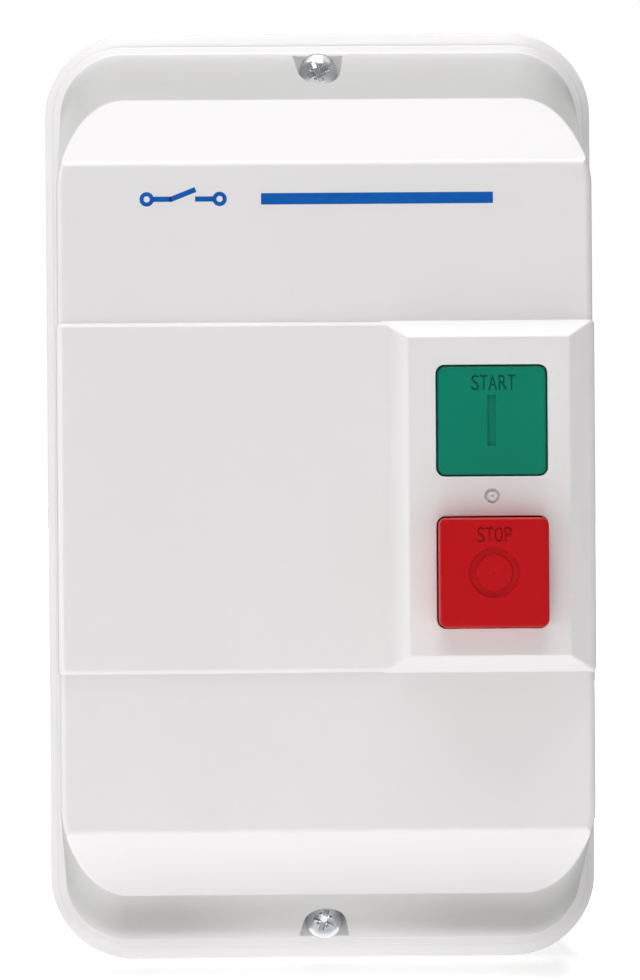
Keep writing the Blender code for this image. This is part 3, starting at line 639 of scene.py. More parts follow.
def flange_solid():
    # d, and how far the outline is drawn in
    edge = ((41.5, 0.0), (43.2, 0.0), (43.42, 0.06), (43.58, 0.2), (43.68, 0.38),
            (44.26, 1.38), (44.42, 1.58))
    rows = [(d, FLANGE_HALF_X - o, FLANGE_HALF_Z - o, FLANGE_CORNER - o) for d, o in edge]
    return stack([(41.2, 54.1, 92.0, 14.2), *rows, (45.0, 52.5, 90.3, 12.6)])


def wedge(sz):
    """The space outside a plane one wall thickness under a shoulder."""
    length = math.hypot(SLOPE_D, SLOPE_Z)
    inset_d, inset_z = -SLOPE_Z / length * WALL, SLOPE_D / length * WALL
    d0 = FRONT_D - inset_d + 0.35 * SLOPE_D
    z0 = SHOULDER_Z - inset_z + 0.35 * SLOPE_Z
    d1 = SHOULDER_D - inset_d - 0.8 * SLOPE_D
    z1 = SHOULDER_FOOT_Z - inset_z - 0.8 * SLOPE_Z
    return prism_x(-70.0, 70.0, [(d0, sz * z0), (d1, sz * z1), (d1, sz * 120.0), (d0, sz * 120.0)])


def band_solid():
    top = FRONT_D + BAND_H
    return stack([(43.0, 53.0, BAND_Z, 0.8), (111.0, 52.15, BAND_Z, 0.8),
                  (111.75, 52.02, BAND_Z, 0.8), (FRONT_D, 51.88, BAND_Z - 0.06, 0.78),
                  (top - 0.16, 51.1, BAND_Z - BAND_H + 0.18, 0.65),
                  (top - 0.03, 50.93, BAND_Z - BAND_H - 0.02, 0.6),
                  (top, 50.7, BAND_Z - BAND_H - 0.2, 0.5)], seg=5)


def panel_solid():
    rows = [                                           # d, x0, x1, half z
        (108.0, 10.33, 51.62, BAND_Z + 0.02),
        (FRONT_D, 10.33, 51.82, BAND_Z + 0.02),
        (FRONT_D + BAND_H, 11.7, 50.85, BAND_Z - BAND_H + 0.02),
        (PANEL_D - 0.22, PANEL_X0 - 0.38, PANEL_X1 + 0.32, PANEL_Z + 0.2),
        (PANEL_D - 0.06, PANEL_X0 - 0.06, PANEL_X1 + 0.06, PANEL_Z + 0.02),
        (PANEL_D, PANEL_X0 + 0.2, PANEL_X1 - 0.2, PANEL_Z - 0.2),
    ]
    return loft([at(d, round_rect((x1 - x0) / 2, half_z, 0.45, (x0 + x1) / 2, 0.0, 4))
                 for d, x0, x1, half_z in rows])


def make_cover():
    cover = join(upper_solid(), flange_solid())
    join(cover, band_solid())
    join(cover, panel_solid())
    for sz in (1, -1):                                 # screw wells, open through the shoulders
        well = rod(4.4, 46.5, 86.0, 0.0, sz * SCREW_Z, 48)
        mouth = [(-4.33, 86.0), (4.33, 86.0), (6.0, 95.0), (-6.0, 95.0)]
        join(well, prism_d(46.51, 86.0, [(x, sz * z) for x, z in mouth]))
        cut(cover, well)
    for sz in (1, -1):                                 # button openings
        rows = [(d, OPENING + o, OPENING + o, 1.7 + o)
                for d, o in ((110.0, 0.0), (PANEL_D - 0.2, 0.0), (PANEL_D - 0.06, 0.04),
                             (PANEL_D + 0.02, 0.15), (118.0, 0.15))]
        cut(cover, stack(rows, BUTTON_X, sz * BUTTON_Z, 8))
    hollow = stack([(38.0, 50.15, 88.1, 10.4), (44.5, 50.1, 88.0, 10.3),
                    (107.4, 49.3, 71.9, 10.6), (108.8, 48.7, 71.3, 10.2),
                    (FRONT_D - WALL, 47.4, 70.0, 9.0)])
    cut(hollow, wedge(1), wedge(-1))
    for sz in (1, -1):
        cut(hollow, rod(6.4, 41.7, 84.0, 0.0, sz * SCREW_Z, 48))
    cut(cover, hollow)
    for sz in (1, -1):
        cut(cover, rod(3.9, 40.0, 44.1, 0.0, sz * SCREW_Z), rod(2.3, 43.0, 48.0, 0.0, sz * SCREW_Z))
    join(cover, box(18.3, 45.7, 106.2, 110.2, -28.4, 28.4))    # thick patch behind the panel
    for sz in (1, -1):
        rows = [(105.0, 12.1, 12.1, 1.0), (112.65, 12.1, 12.1, 1.0)]
        cut(cover, stack(rows, BUTTON_X, sz * BUTTON_Z, 6))
    for x in (24.0, 40.0):
        cut(cover, rod(1.15, 105.0, 110.8, x, 0.0, 20))
    # small ring groove and dot between the buttons
    groove = [(PANEL_D - 0.45, 0.85), (PANEL_D - 0.45, 1.3), (PANEL_D + 0.01, 1.5),
              (PANEL_D + 1, 1.5), (PANEL_D + 1, 0.95), (PANEL_D - 0.1, 0.95)]
    cut(cover, turned(groove, BUTTON_X, 0.0, 32, ring=True))
    cut(cover, turned([(PANEL_D - 0.12, 0.28), (PANEL_D + 1, 0.3)], BUTTON_X, 0.0, 16))
    return cover


piece(make_cover(), "cover_shell", "case", "cover", "front_cover")


# ---- print on the cover --------------------------------------------------------------------------
INK_D = (FRONT_D - 0.02, FRONT_D + 0.03)               # thin flat bodies just proud of the front


def printed(ob, name):
    piece(ob, name, "ink", "cover", weighted=False)


stripe_x0, stripe_x1 = -12.24, 32.67
stripe = round_rect((stripe_x1 - stripe_x0) / 2, 1.1, 0.06, (stripe_x0 + stripe_x1) / 2, 57.86, 3)
printed(prism_d(*INK_D, stripe), "stripe_print")

# an open switch contact as circuit diagrams draw it: word, x and z of the start and of the end
for word, x0, z0, x1, z1 in (
    ("left_line", -33.1, SYMBOL_Z, -29.6, SYMBOL_Z),
    ("blade", -29.9, SYMBOL_Z - 0.12, -24.9, SYMBOL_Z + 1.85),
    ("right_line", -25.0, SYMBOL_Z, -21.5, SYMBOL_Z),
):
    way_x, way_z = x1 - x0, z1 - z0
    line = angled_rect(x0, z0, math.atan2(way_z, way_x), 0.0, math.hypot(way_x, way_z), 0.5)
    printed(prism_d(*INK_D, line), f"symbol_print_{word}")
for word, x in (("left", -34.35), ("right", -20.25)):
    back, face = INK_D
    section = ((back, 1.4), (face, 1.4), (face, 0.6), (back, 0.6))
    ring = loft([at(d, circle(r, 32, x, SYMBOL_Z)) for d, r in section], ring=True)
    printed(ring, f"symbol_print_terminal_{word}")


# ---- push-buttons --------------------------------------------------------------------------------
def make_button(face, seat, stem_end, z):
    """A square cap with a rear rim, hollow up to seat, on a round stem."""
    rows = [(111.2, 11.7, 11.7, 1.6), (112.3, 11.7, 11.7, 1.6), (112.3, CAP, CAP, 1.5),
            (face - 0.5, CAP, CAP, 1.5)]
    for k in range(1, 6):                              # front edge turned on a radius of 0.5
        a = math.radians(90.0 * k / 5)
        off = 1 - math.cos(a)
        half = CAP - 0.5 * off
        rows.append((face - 0.5 * (1 - math.sin(a)), half, half, 1.5 - 0.35 * off))
    cap = stack(rows, BUTTON_X, z, 8)
    cut(cap, rod(6.3, 110.0, seat, BUTTON_X, z, 48))
    stem = [(stem_end, 2.2), (stem_end + 0.15, 2.5), (stem_end + 0.6, 2.8), (seat + 0.6, 2.8)]
    return join(cap, turned(stem, BUTTON_X, z, 40))


def engrave(cap, letters, height, z, face, depth):
    """Cuts letters into a cap. Each is letter, x0, x1 from the cap's middle."""
    for letter, x0, x1 in letters:
        cut(cap, lettering(letter, x1 - x0, height, BUTTON_X + (x0 + x1) / 2, z + 7.35,
                           face - depth, face + 1.0))


def make_start():
    cap = make_button(START_D, 113.4, 101.7, BUTTON_Z)
    mark = [(START_D + d, 0.77 + o, 4.9 + o, 0.12 + o)
            for d, o in ((-0.5, 0.0), (-0.08, 0.0), (0.02, 0.08), (1, 0.08))]
    cut(cap, stack(mark, BUTTON_X, BUTTON_Z, 3))
    letters = (("S", -3.91, -2.44), ("T", -2.2, -0.8), ("A", -0.6, 1.06), ("R", 1.40, 2.95),
               ("T", 3.15, 4.6))
    engrave(cap, letters, 2.95, BUTTON_Z, START_D, 0.42)
    return cap


def make_stop():
    cap = make_button(STOP_D, 116.0, 97.3, -BUTTON_Z)
    groove = [(STOP_D - 0.42, 3.5), (STOP_D - 0.42, 4.75), (STOP_D + 0.02, 4.85),
              (STOP_D + 1, 4.85), (STOP_D + 1, 3.4), (STOP_D + 0.02, 3.4)]
    dot = [(STOP_D - 0.12, 0.22), (STOP_D + 0.5, 0.3)]
    cut(cap, turned(groove, BUTTON_X, -BUTTON_Z, 72, ring=True),
        turned(dot, BUTTON_X, -BUTTON_Z, 16))
    letters = (("S", -3.24, -1.82), ("T", -1.6, -0.15), ("O", 0.12, 1.65), ("P", 2.0, 3.45))
    engrave(cap, letters, 2.9, -BUTTON_Z, STOP_D, 0.40)
    return cap


piece(make_start(), "start_cap", "green", "start", "start_button")
piece(make_stop(), "stop_cap", "red", "stop", "stop_button")


# ---- springs -------------------------------------------------------------------------------------
def make_spring(name, body, x, z, d0, d1, radius, turns, steps=28, sides=12):
    """A coil in place of the frame's spring, with a mesh of its own."""
    coil = coil_spring(x, z, d0, d1, radius, 0.35, turns, steps, sides)
    piece(coil, f"{name}_coil", "spring", body, name, weighted=False)
    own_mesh(coil)


make_spring("start_spring", "cover", BUTTON_X, BUTTON_Z, 105.3, 113.1,
            radius=4.75, turns=5.0)
make_spring("stop_spring", "cover", BUTTON_X, -BUTTON_Z, 105.3, 115.7,
            radius=4.75, turns=6.0)
for name in ("return_spring_left", "return_spring_right"):
    x0, x1, d0, d1, _, _ = mm_box(name)
    make_spring(name, "enclosure", (x0 + x1) / 2, RAIL_Z, d0, d1,
                radius=2.6, turns=6.0, steps=20, sides=8)


# ---- screws and washers --------------------------------------------------------------------------
def pan_screw(d, z, head_r, head_h, shank_r, length, turn):
    """A pan-head screw at x = 0, its head under at d, with cross recess and thread rings."""
    profile = [(d - length, shank_r * 0.35), (d - length + 0.5, shank_r * 0.85)]
    pitch = 0.7
    t = d - length + 1.0
    while t < d - 1.2:
        profile += [(t, shank_r * 0.86), (t + pitch * 0.35, shank_r), (t + pitch * 0.5, shank_r)]
        t += pitch
    profile += [(d - 0.6, shank_r * 0.9), (d, shank_r * 0.9), (d, head_r * 0.93),
                (d + head_h * 0.06, head_r * 0.985)]
    for i in range(9):                                 # dome of the head
        a = math.radians(10 + 80 * i / 8)
        radius = max(head_r * math.cos(a) ** 0.62, 0.02) if i < 8 else 0.02
        profile.append((d + head_h * (0.16 + 0.84 * math.sin(a)), radius))
    screw = turned(profile, 0.0, z)
    # The arms of each cross differ minutely in depth, so that no two cutters share a plane.
    for i in range(2):
        loops = []
        for rise, spread in ((0.16, 0.26), (1.25, 1.12)):
            reach = head_r * 0.64 * spread
            half_width = head_r * 0.13 * (0.75 + 0.35 * spread) * (1.0 + 0.004 * i)
            arm = angled_rect(0.0, z, turn + i * math.pi / 2, -reach, reach, half_width)
            loops.append(at(d + head_h * rise - 0.001 * i, arm))
        cut(screw, loft(loops))
    for i in range(2):                                 # small diagonal nicks
        loops = []
        angle = turn + math.pi / 4 + i * math.pi / 2
        for rise, spread in ((0.72, 0.30), (1.3, 0.62)):
            reach = head_r * spread
            arm = angled_rect(0.0, z, angle, -reach, reach, head_r * 0.075)
            loops.append(at(d + head_h * rise + 0.002 * i, arm))
        cut(screw, loft(loops))
    return screw


def slotted_screw(head_r, head_h, shank_r, length):
    """A screw at the origin with a cross recess over a plain slot."""
    screw = pan_screw(0.0, 0.0, head_r, head_h, shank_r, length, turn=0.02)
    reach = head_r * 1.1
    return cut(screw, box(-reach, reach, head_h * 0.62, head_h + 1.5, -0.36, 0.36))


def placed(source, x, d, z, turn):
    """A copy of a piece built at the origin, turned about its own axis and moved."""
    ob = linked("placed", source.data.copy())
    move = Matrix.Translation((x * MM, -d * MM, z * MM))
    ob.data.transform(move @ Matrix.Rotation(turn, 4, "Y"))
    return ob


def finish_screw(ob, name, body="enclosure"):
    piece(ob, f"{name}_finished", "zinc", body, name, angle=24.0, weighted=False)


for word, body, sz, turn in (("top", "upper_screw", 1, 0.42), ("bottom", "lower_screw", -1, -0.30)):
    screw = pan_screw(SCREW_SEAT_D, sz * SCREW_Z, head_r=3.95, head_h=SCREW_TOP_D - SCREW_SEAT_D,
                      shank_r=1.75, length=22.0, turn=turn)
    finish_screw(screw, f"cover_screw_{word}", body)

clamp = slotted_screw(head_r=3.6, head_h=2.6, shank_r=1.8, length=10.0)
washer = stack([(0.0, 3.75, 3.75, 0.6), (0.18, 3.75, 3.75, 0.6), (0.27, 3.66, 3.66, 0.5)], seg=4)
cut(washer, rod(1.95, -1.0, 1.0, 0.0, 0.0, 24))
for word, d, z, turns in (                             # one row of three clamps each
    ("line_screw_l", 65.8, 68.0, (0.31, -0.62, 1.05)),
    ("load_screw_t", 67.5, 10.0, (0.12, -0.28, 0.71)),
    ("output_screw_", 67.5, -45.0, (-0.95, 0.50, 0.22)),
):
    for i, (x, turn) in enumerate(zip(POLES, turns), 1):
        name = f"{word}{i}"
        finish_screw(placed(clamp, x, d, z, turn), name)
        piece(placed(washer, x, d - 0.285, z, 0.0), f"{name}_washer", "zinc", "enclosure")
small = slotted_screw(head_r=3.4, head_h=2.2, shank_r=1.6, length=7.0)
EARTH_X, EARTH_Z = -34.0, -62.0
RAIL_SCREWS = (-20.0, 43.0)
for name, x, z, turn in (
    ("rail_screw_left", RAIL_SCREWS[0], RAIL_Z, 0.4),
    ("rail_screw_right", RAIL_SCREWS[1], RAIL_Z, -0.5),
    ("earth_screw", EARTH_X, EARTH_Z, 0.9),
):
    finish_screw(placed(small, x, 9.6, z, turn), name)
for ob in (clamp, washer, small):
    bpy.data.objects.remove(ob, do_unlink=True)


# ---- contactor -----------------------------------------------------------------------------------
def make_contactor():
    rows = [(50.3, 22.3, 36.8, 0.6), (50.6, 22.5, 37.0, 0.8), (62.0, 22.5, 37.0, 0.8),
            (62.0, 22.1, 36.9, 0.8), (62.6, 22.1, 36.9, 0.8), (62.6, 22.5, 37.0, 0.8),
            (79.2, 22.5, 37.0, 0.8)]
    rows += edge_rows(80.0, 22.5, 37.0, 0.8, radius=0.6, steps=3)
    body = stack(rows, MID_X, RAIL_Z, 4)
    tower = [(78.0, 22.45, 17.0, 0.8), (86.0, 22.45, 17.0, 0.8), (86.0, 22.1, 16.65, 0.8),
             (86.5, 22.1, 16.65, 0.8), (86.5, 22.45, 17.0, 0.8), (89.9, 22.45, 17.0, 0.8)]
    tower += edge_rows(91.0, 22.45, 17.0, 1.2, radius=1.0, steps=4)
    join(body, stack(tower, MID_X, RAIL_Z, 4))
    cut(body, box(MID_X - 18.5, MID_X + 18.5, 49.0, 88.2, 28.5, 49.5))
    cut(body, box(6.5, 25.5, 49.1, 61.0, 14.5, 63.5))
    for x in POLES:                                    # terminal channels and screw holes
        cut(body, box(x - 5.0, x + 5.0, 63.7, 84.0, -5.0, 85.0))
        for z in (68.0, 10.0):
            cut(body, rod(2.1, 54.0, 66.0, x, z, 24))
    cut(body, stack([(86.0, 6.3, 5.3, 0.5), (90.4, 6.3, 5.3, 0.5), (91.3, 7.2, 6.2, 1.4),
                     (93.0, 7.2, 6.2, 1.4)], MID_X, RAIL_Z, 4))
    for sx in (-1, 1):                                 # recesses for marking plates
        cut(body, stack([(90.35, 4.6, 6.0, 0.5), (90.8, 4.6, 6.0, 0.5), (91.2, 4.9, 6.3, 0.8),
                         (93.0, 4.9, 6.3, 0.8)], MID_X + sx * MARKING_X, RAIL_Z, 3))
    for k in range(-5, 6):                             # cooling slots
        for sz in (1, -1):
            cut(body, slab(MID_X + k * 1.9, RAIL_Z + sz * 9.2, 0.45, 1.6, 88.9, 92.0))
    for x, top, low in zip(POLES, "135", "246"):       # terminal numbers
        cut(body, lettering(top, 1.15, 1.9, x, RAIL_Z + 14.2, 90.8, 92.0),
            lettering(low, 1.15, 1.9, x, RAIL_Z - 14.2, 90.8, 92.0))
    for sx in (-1, 1):                                 # grip grooves down the tower's sides
        for k in range(5):
            cut(body, slab(MID_X + sx * 22.45, RAIL_Z - 6.0 + k * 3.0, 0.35, 0.5, 80.6, 85.4))
    return body


def marking_plate(rows, x, z, half_line, lines):
    """A plate with fine lines scored across it. Lines are count either side, pitch, half width,
    d0 and d1."""
    reach, pitch, half_width, d0, d1 = lines
    plate = stack(rows, x, z, 3)
    for k in range(-reach, reach + 1):
        cut(plate, slab(x, z + k * pitch, half_line, half_width, d0, d1))
    return plate


piece(make_contactor(), "contactor_housing", "ivory", "enclosure", "contactor_body")
for sx, word in ((-1, "left"), (1, "right")):
    plate = marking_plate([(90.38, 4.45, 5.85, 0.4), (90.75, 4.45, 5.85, 0.4),
                           (90.88, 4.32, 5.72, 0.3)], MID_X + sx * MARKING_X, RAIL_Z,
                          half_line=3.4, lines=(1, 3.2, 0.09, 90.80, 91.5))
    piece(plate, f"marking_plate_{word}", "white", "enclosure")


# ---- overload relay ------------------------------------------------------------------------------
def make_relay():
    rows = [(24.0, 22.3, 25.3, 0.6), (24.3, 22.5, 25.5, 0.8), (77.2, 22.5, 25.5, 0.8)]
    rows += edge_rows(78.0, 22.5, 25.5, 0.8, radius=0.6, steps=3)
    relay = stack(rows, MID_X, -26.5, 4)
    tower = [(76.0, 22.3, 17.2, 0.8), (90.9, 22.3, 17.2, 0.8)]
    tower += edge_rows(92.0, 22.3, 17.2, 1.2, radius=1.0, steps=4)
    join(relay, stack(tower, MID_X, RELAY_FRONT_Z, 4))
    cut(relay, box(MID_X - 19.0, MID_X + 19.0, 32.0, 73.0, -34.0, -6.0))
    for x in POLES:                                    # conductor channels and screw holes
        cut(relay, box(x - 4.7, x + 4.7, 63.9, 73.9, -60.0, 5.0))
        cut(relay, box(x - 4.9, x + 4.9, 63.6, 85.0, -60.0, -37.5))
        cut(relay, rod(2.1, 54.0, 66.0, x, -45.0, 24))
    dial_well = [(88.0, 5.4), (91.75, 5.4), (92.25, 5.85), (95.0, 5.85)]
    cut(relay, turned(dial_well, DIAL_X, DIAL_Z, 56))
    for k in range(13):                                # scale round the dial
        length = 0.95 if k % 3 == 0 else 0.55
        angle = math.radians(210.0 - 20.0 * k)
        cut(relay, prism_d(91.85, 93.0, angled_rect(DIAL_X, DIAL_Z, angle, 6.1, 6.1 + length, 0.1)))
    # collar of the reset pin, under the stop button
    join(relay, turned([(90.0, 4.5), (92.3, 4.5), (92.55, 4.25)], BUTTON_X, -BUTTON_Z, 40))
    bore = [(77.4, 3.1), (92.3, 3.1), (92.8, 3.6), (95.0, 3.6)]
    cut(relay, turned(bore, BUTTON_X, -BUTTON_Z, 40))
    cut(relay, stack([(89.0, 4.2, 1.6, 0.2), (91.8, 4.2, 1.6, 0.2), (92.2, 4.5, 1.9, 0.5),
                      (95.0, 4.5, 1.9, 0.5)], 19.8, -12.0, 3))
    cut(relay, stack([(91.45, 10.6, 4.6, 0.5), (91.8, 10.6, 4.6, 0.5), (92.2, 10.9, 4.9, 0.8),
                      (95.0, 10.9, 4.9, 0.8)], *RELAY_MARKING, 3))
    for x, number in zip(POLES, "246"):
        if x > 12:                                     # none below the dial
            cut(relay, lettering(number, 1.1, 1.7, x, -34.3, 91.8, 93.0))
    for z0, z1 in ((-33.2, -31.4), (-16.6, -14.8)):    # hinge ears of the dial window
        ear = [(90.0, z0), (94.4, z0), (95.5, z0 + 0.15), (95.8, z0 + 0.5),
               (95.8, z1 - 0.5), (95.5, z1 - 0.15), (94.4, z1), (90.0, z1)]
        join(relay, prism_x(-3.5, -0.6, ear))
        cut(relay, turned_z([(z0 - 1, 0.75), (z1 + 1, 0.75)], HINGE_X, HINGE_D, 24))
    return relay


def make_dial():
    profile = [(88.3, 4.9), (88.5, 5.0), (92.2, 5.0), (92.5, 4.9), (92.7, 4.72), (92.8, 4.45)]
    dial = turned(profile, DIAL_X, DIAL_Z, 56)
    arrow = [(4.35, -27.2), (5.65, -27.2), (5.65, -22.6), (6.5, -22.6), (5.0, -20.2),
             (3.5, -22.6), (4.35, -22.6)]
    cut(dial, prism_d(91.5, 94.0, arrow))
    for k in range(28):                                # small square notches round the rim
        a = 2 * math.pi * k / 28
        x, z = DIAL_X + 5.02 * math.cos(a), DIAL_Z + 5.02 * math.sin(a)
        notch = [(x + 0.14 * math.cos(a + t), z + 0.14 * math.sin(a + t))
                 for t in (0.0, 1.57, 3.14, 4.71)]
        cut(dial, prism_d(91.0, 94.0, notch))
    return dial


def make_window():
    """The clear flap over the dial, with its hinge pin and grip ribs."""
    loops = []
    for x, half_d, half_z in ((-1.5, 0.45, 6.9), (9.6, 0.5, 7.0), (10.5, 0.45, 6.7),
                              (10.8, 0.3, 6.3)):
        d0, d1, z0, z1 = HINGE_D - half_d, HINGE_D + half_d, DIAL_Z - half_z, DIAL_Z + half_z
        loops.append([(x, d0, z0), (x, d1, z0), (x, d1, z1), (x, d0, z1)])
    flap = loft(loops)
    join(flap, turned_z([(-31.0, 0.95), (-17.0, 0.95)], HINGE_X, HINGE_D, 28),
         turned_z([(-32.9, 0.5), (-15.1, 0.5)], HINGE_X, HINGE_D, 20))
    for k in range(3):
        join(flap, box(8.6 + k * 0.6, 8.85 + k * 0.6, 94.6, 95.05, -27.0, -21.0))
    return flap


def make_tester():
    foot = stack([(89.3, 1.7, 1.3, 0.15), (91.4, 1.7, 1.3, 0.15)], 17.6, -12.0, 3)
    tab = [(91.0, 0.95, 0.95, 0.15), (92.6, 0.85, 0.85, 0.15), (92.9, 0.6, 0.6, 0.1)]
    return join(foot, stack(tab, 17.6, -12.0, 3))


def make_reset_pin():
    profile = [(82.8, 2.2), (83.2, 2.7), (96.3, 2.7), (96.7, 2.58), (96.92, 2.35), (97.0, 2.0)]
    pin = turned(profile, BUTTON_X, -BUTTON_Z, 40)
    return cut(pin, slab(BUTTON_X, -BUTTON_Z, 1.6, 0.3, 96.6, 98.0))


piece(make_relay(), "relay_case", "ivory", "enclosure", "relay_housing")
plate = marking_plate([(91.48, 10.45, 4.45, 0.4), (91.8, 10.45, 4.45, 0.4),
                       (91.92, 10.33, 4.33, 0.3)], *RELAY_MARKING,
                      half_line=9.2, lines=(2, 1.7, 0.07, 91.85, 92.5))
piece(plate, "relay_marking_plate", "white", "enclosure")
piece(make_dial(), "dial_knob", "white", "dial", "current_dial")
piece(make_window(), "dial_window", "clear", "dial_flap", "dial_cover")
piece(make_tester(), "test_tab", "red", "tester", "test_slider")
piece(make_reset_pin(), "reset_pin", "blue", "reset", "reset_plunger")


# ---- start contact block -------------------------------------------------------------------------
def make_block():
    rows = [(91.4, 6.1, 14.9, 0.5), (91.7, 6.2, 15.0, 0.6)]
    rows += edge_rows(97.0, 6.2, 15.0, 0.7, radius=0.5, steps=3, first=True)
    block = stack(rows, BUTTON_X, 21.0, 4)
    foot = [(83.0, 6.0, 7.55, 0.5), (83.3, 6.2, 7.75, 0.6), (92.0, 6.2, 7.75, 0.6)]
    join(block, stack(foot, BUTTON_X, 13.75, 4))
    cut(block, box(28.0, 36.0, 84.4, 94.0, BUTTON_Z - 4.0, BUTTON_Z + 4.0))
    cut(block, turned([(92.0, 2.5), (96.7, 2.5), (97.3, 3.1), (98.0, 3.1)], BUTTON_X, BUTTON_Z, 32))
    cut(block, stack([(95.8, 3.5, 4.0, 0.3), (96.8, 3.5, 4.0, 0.3), (97.2, 3.8, 4.3, 0.6),
                      (98.0, 3.8, 4.3, 0.6)], BUTTON_X, 29.0, 3))
    for k in range(4):                                 # grooves down both sides of the foot
        d0, d1 = 85.0 + k * 1.7, 85.8 + k * 1.7
        cut(block, box(25.0, 26.15, d0, d1, 8.0, 19.5), box(37.85, 39.0, d0, d1, 8.0, 19.5))
    return block


piece(make_block(), "contact_block_case", "dark", "enclosure", "start_contact_block")
plate = stack([(95.85, 3.35, 3.85, 0.25), (96.3, 3.35, 3.85, 0.25), (96.4, 3.25, 3.75, 0.2)],
              BUTTON_X, 29.0, 3)
cut(plate, box(BUTTON_X - 2.4, BUTTON_X + 2.4, 96.3, 97.0, 28.9, 29.1))
piece(plate, "contact_block_plate", "white", "enclosure")
PLUNGER = [(88.4, 2.0), (88.6, 2.2), (90.0, 2.2), (90.0, 3.2), (90.1, 3.3), (91.3, 3.3),
           (91.4, 3.2), (91.4, 2.2), (100.8, 2.2), (101.15, 2.05), (101.35, 1.75), (101.4, 1.3)]
piece(turned(PLUNGER, BUTTON_X, BUTTON_Z, 32), "contact_plunger", "white", "start_contact",
      "start_contact_plunger")


# ---- wiring --------------------------------------------------------------------------------------
def make_lead(corners, bend):
    return sweep(rounded_path(corners, bend, 12), 1.1, 20)


def collar(x0, x1, d, z):
    """A collar round a lead where it enters a side wall."""
    section = ((x0, 1.15), (x0, 1.75), (x0 + (x1 - x0) * 0.25, 1.95), (x1, 2.1), (x1, 1.15))
    return loft([[(x, u, v) for u, v in circle(r, 28, d, z)] for x, r in section], ring=True)


coil_lead = [(-6.9, 57.0, 60.0), (-13.0, 57.0, 60.0), (-13.0, 57.0, -40.0), (-6.9, 57.0, -40.0)]
start_lead = [(25.5, 87.4, 12.0), (-10.4, 87.4, 12.0), (-10.4, 62.0, 12.0), (-10.4, 62.0, 32.0),
              (-6.9, 62.0, 32.0)]
piece(make_lead(coil_lead, 4.0), "coil_lead", "wire", "enclosure", "wire_coil", weighted=False)
piece(make_lead(start_lead, 3.0), "start_lead", "wire_red", "enclosure", "wire_start",
      weighted=False)
for i, spot in enumerate(((-8.4, -6.52, 57.0, 60.0), (-8.4, -6.52, 57.0, -40.0),
                          (-8.4, -6.52, 62.0, 32.0), (24.3, 25.78, 87.4, 12.0)), 1):
    piece(collar(*spot), f"lead_collar_{i}", "rubber", "enclosure")


# ---- rear case -----------------------------------------------------------------------------------
def case_solid():
    """The case in one loft: up the outside, over the grooved rim and down the inside."""
    rows = []
    for degrees in (90.0, 67.5, 45.0, 22.5, 0.0):      # rounded back edge
        a = math.radians(degrees)
        off = 1.2 * (1 - math.cos(a))
        rows.append((1.2 * (1 - math.sin(a)), 54.0 - off, 93.0 - off, 15.0 - off))
    rows += [(33.2, 54.79, 93.79, 15.79), (33.8, 54.95, 93.95, 15.95), (34.5, 55.8, 94.8, 16.8)]
    rim = ((35.0, 0.0), (39.3, 0.0), (39.52, 0.05), (39.7, 0.18), (40.66, 1.43),
           (40.84, 1.68), (40.95, 1.86), (41.0, 2.0))  # d, and how far the side is drawn in
    rows += [(d, CASE_HALF_X - o, CASE_HALF_Z - 1.3 * o, CASE_CORNER - 1.15 * o) for d, o in rim]
    rows += [(41.0, 53.95, 92.05, 14.05), (40.8, 53.8, 91.9, 13.9), (39.4, 53.8, 91.9, 13.9),
             (39.4, 52.0, 90.1, 12.1), (40.85, 52.0, 90.1, 12.1), (41.0, 51.85, 89.95, 11.95),
             (41.0, 51.0, 89.1, 11.2), (40.8, 50.8, 88.9, 11.0), (34.0, 50.8, 88.9, 11.0),
             (33.0, 51.9, 90.9, 12.9), (4.5, 51.43, 90.43, 12.43), (3.4, 51.0, 90.0, 12.0),
             (3.0, 50.0, 89.0, 11.0)]
    return stack(rows)


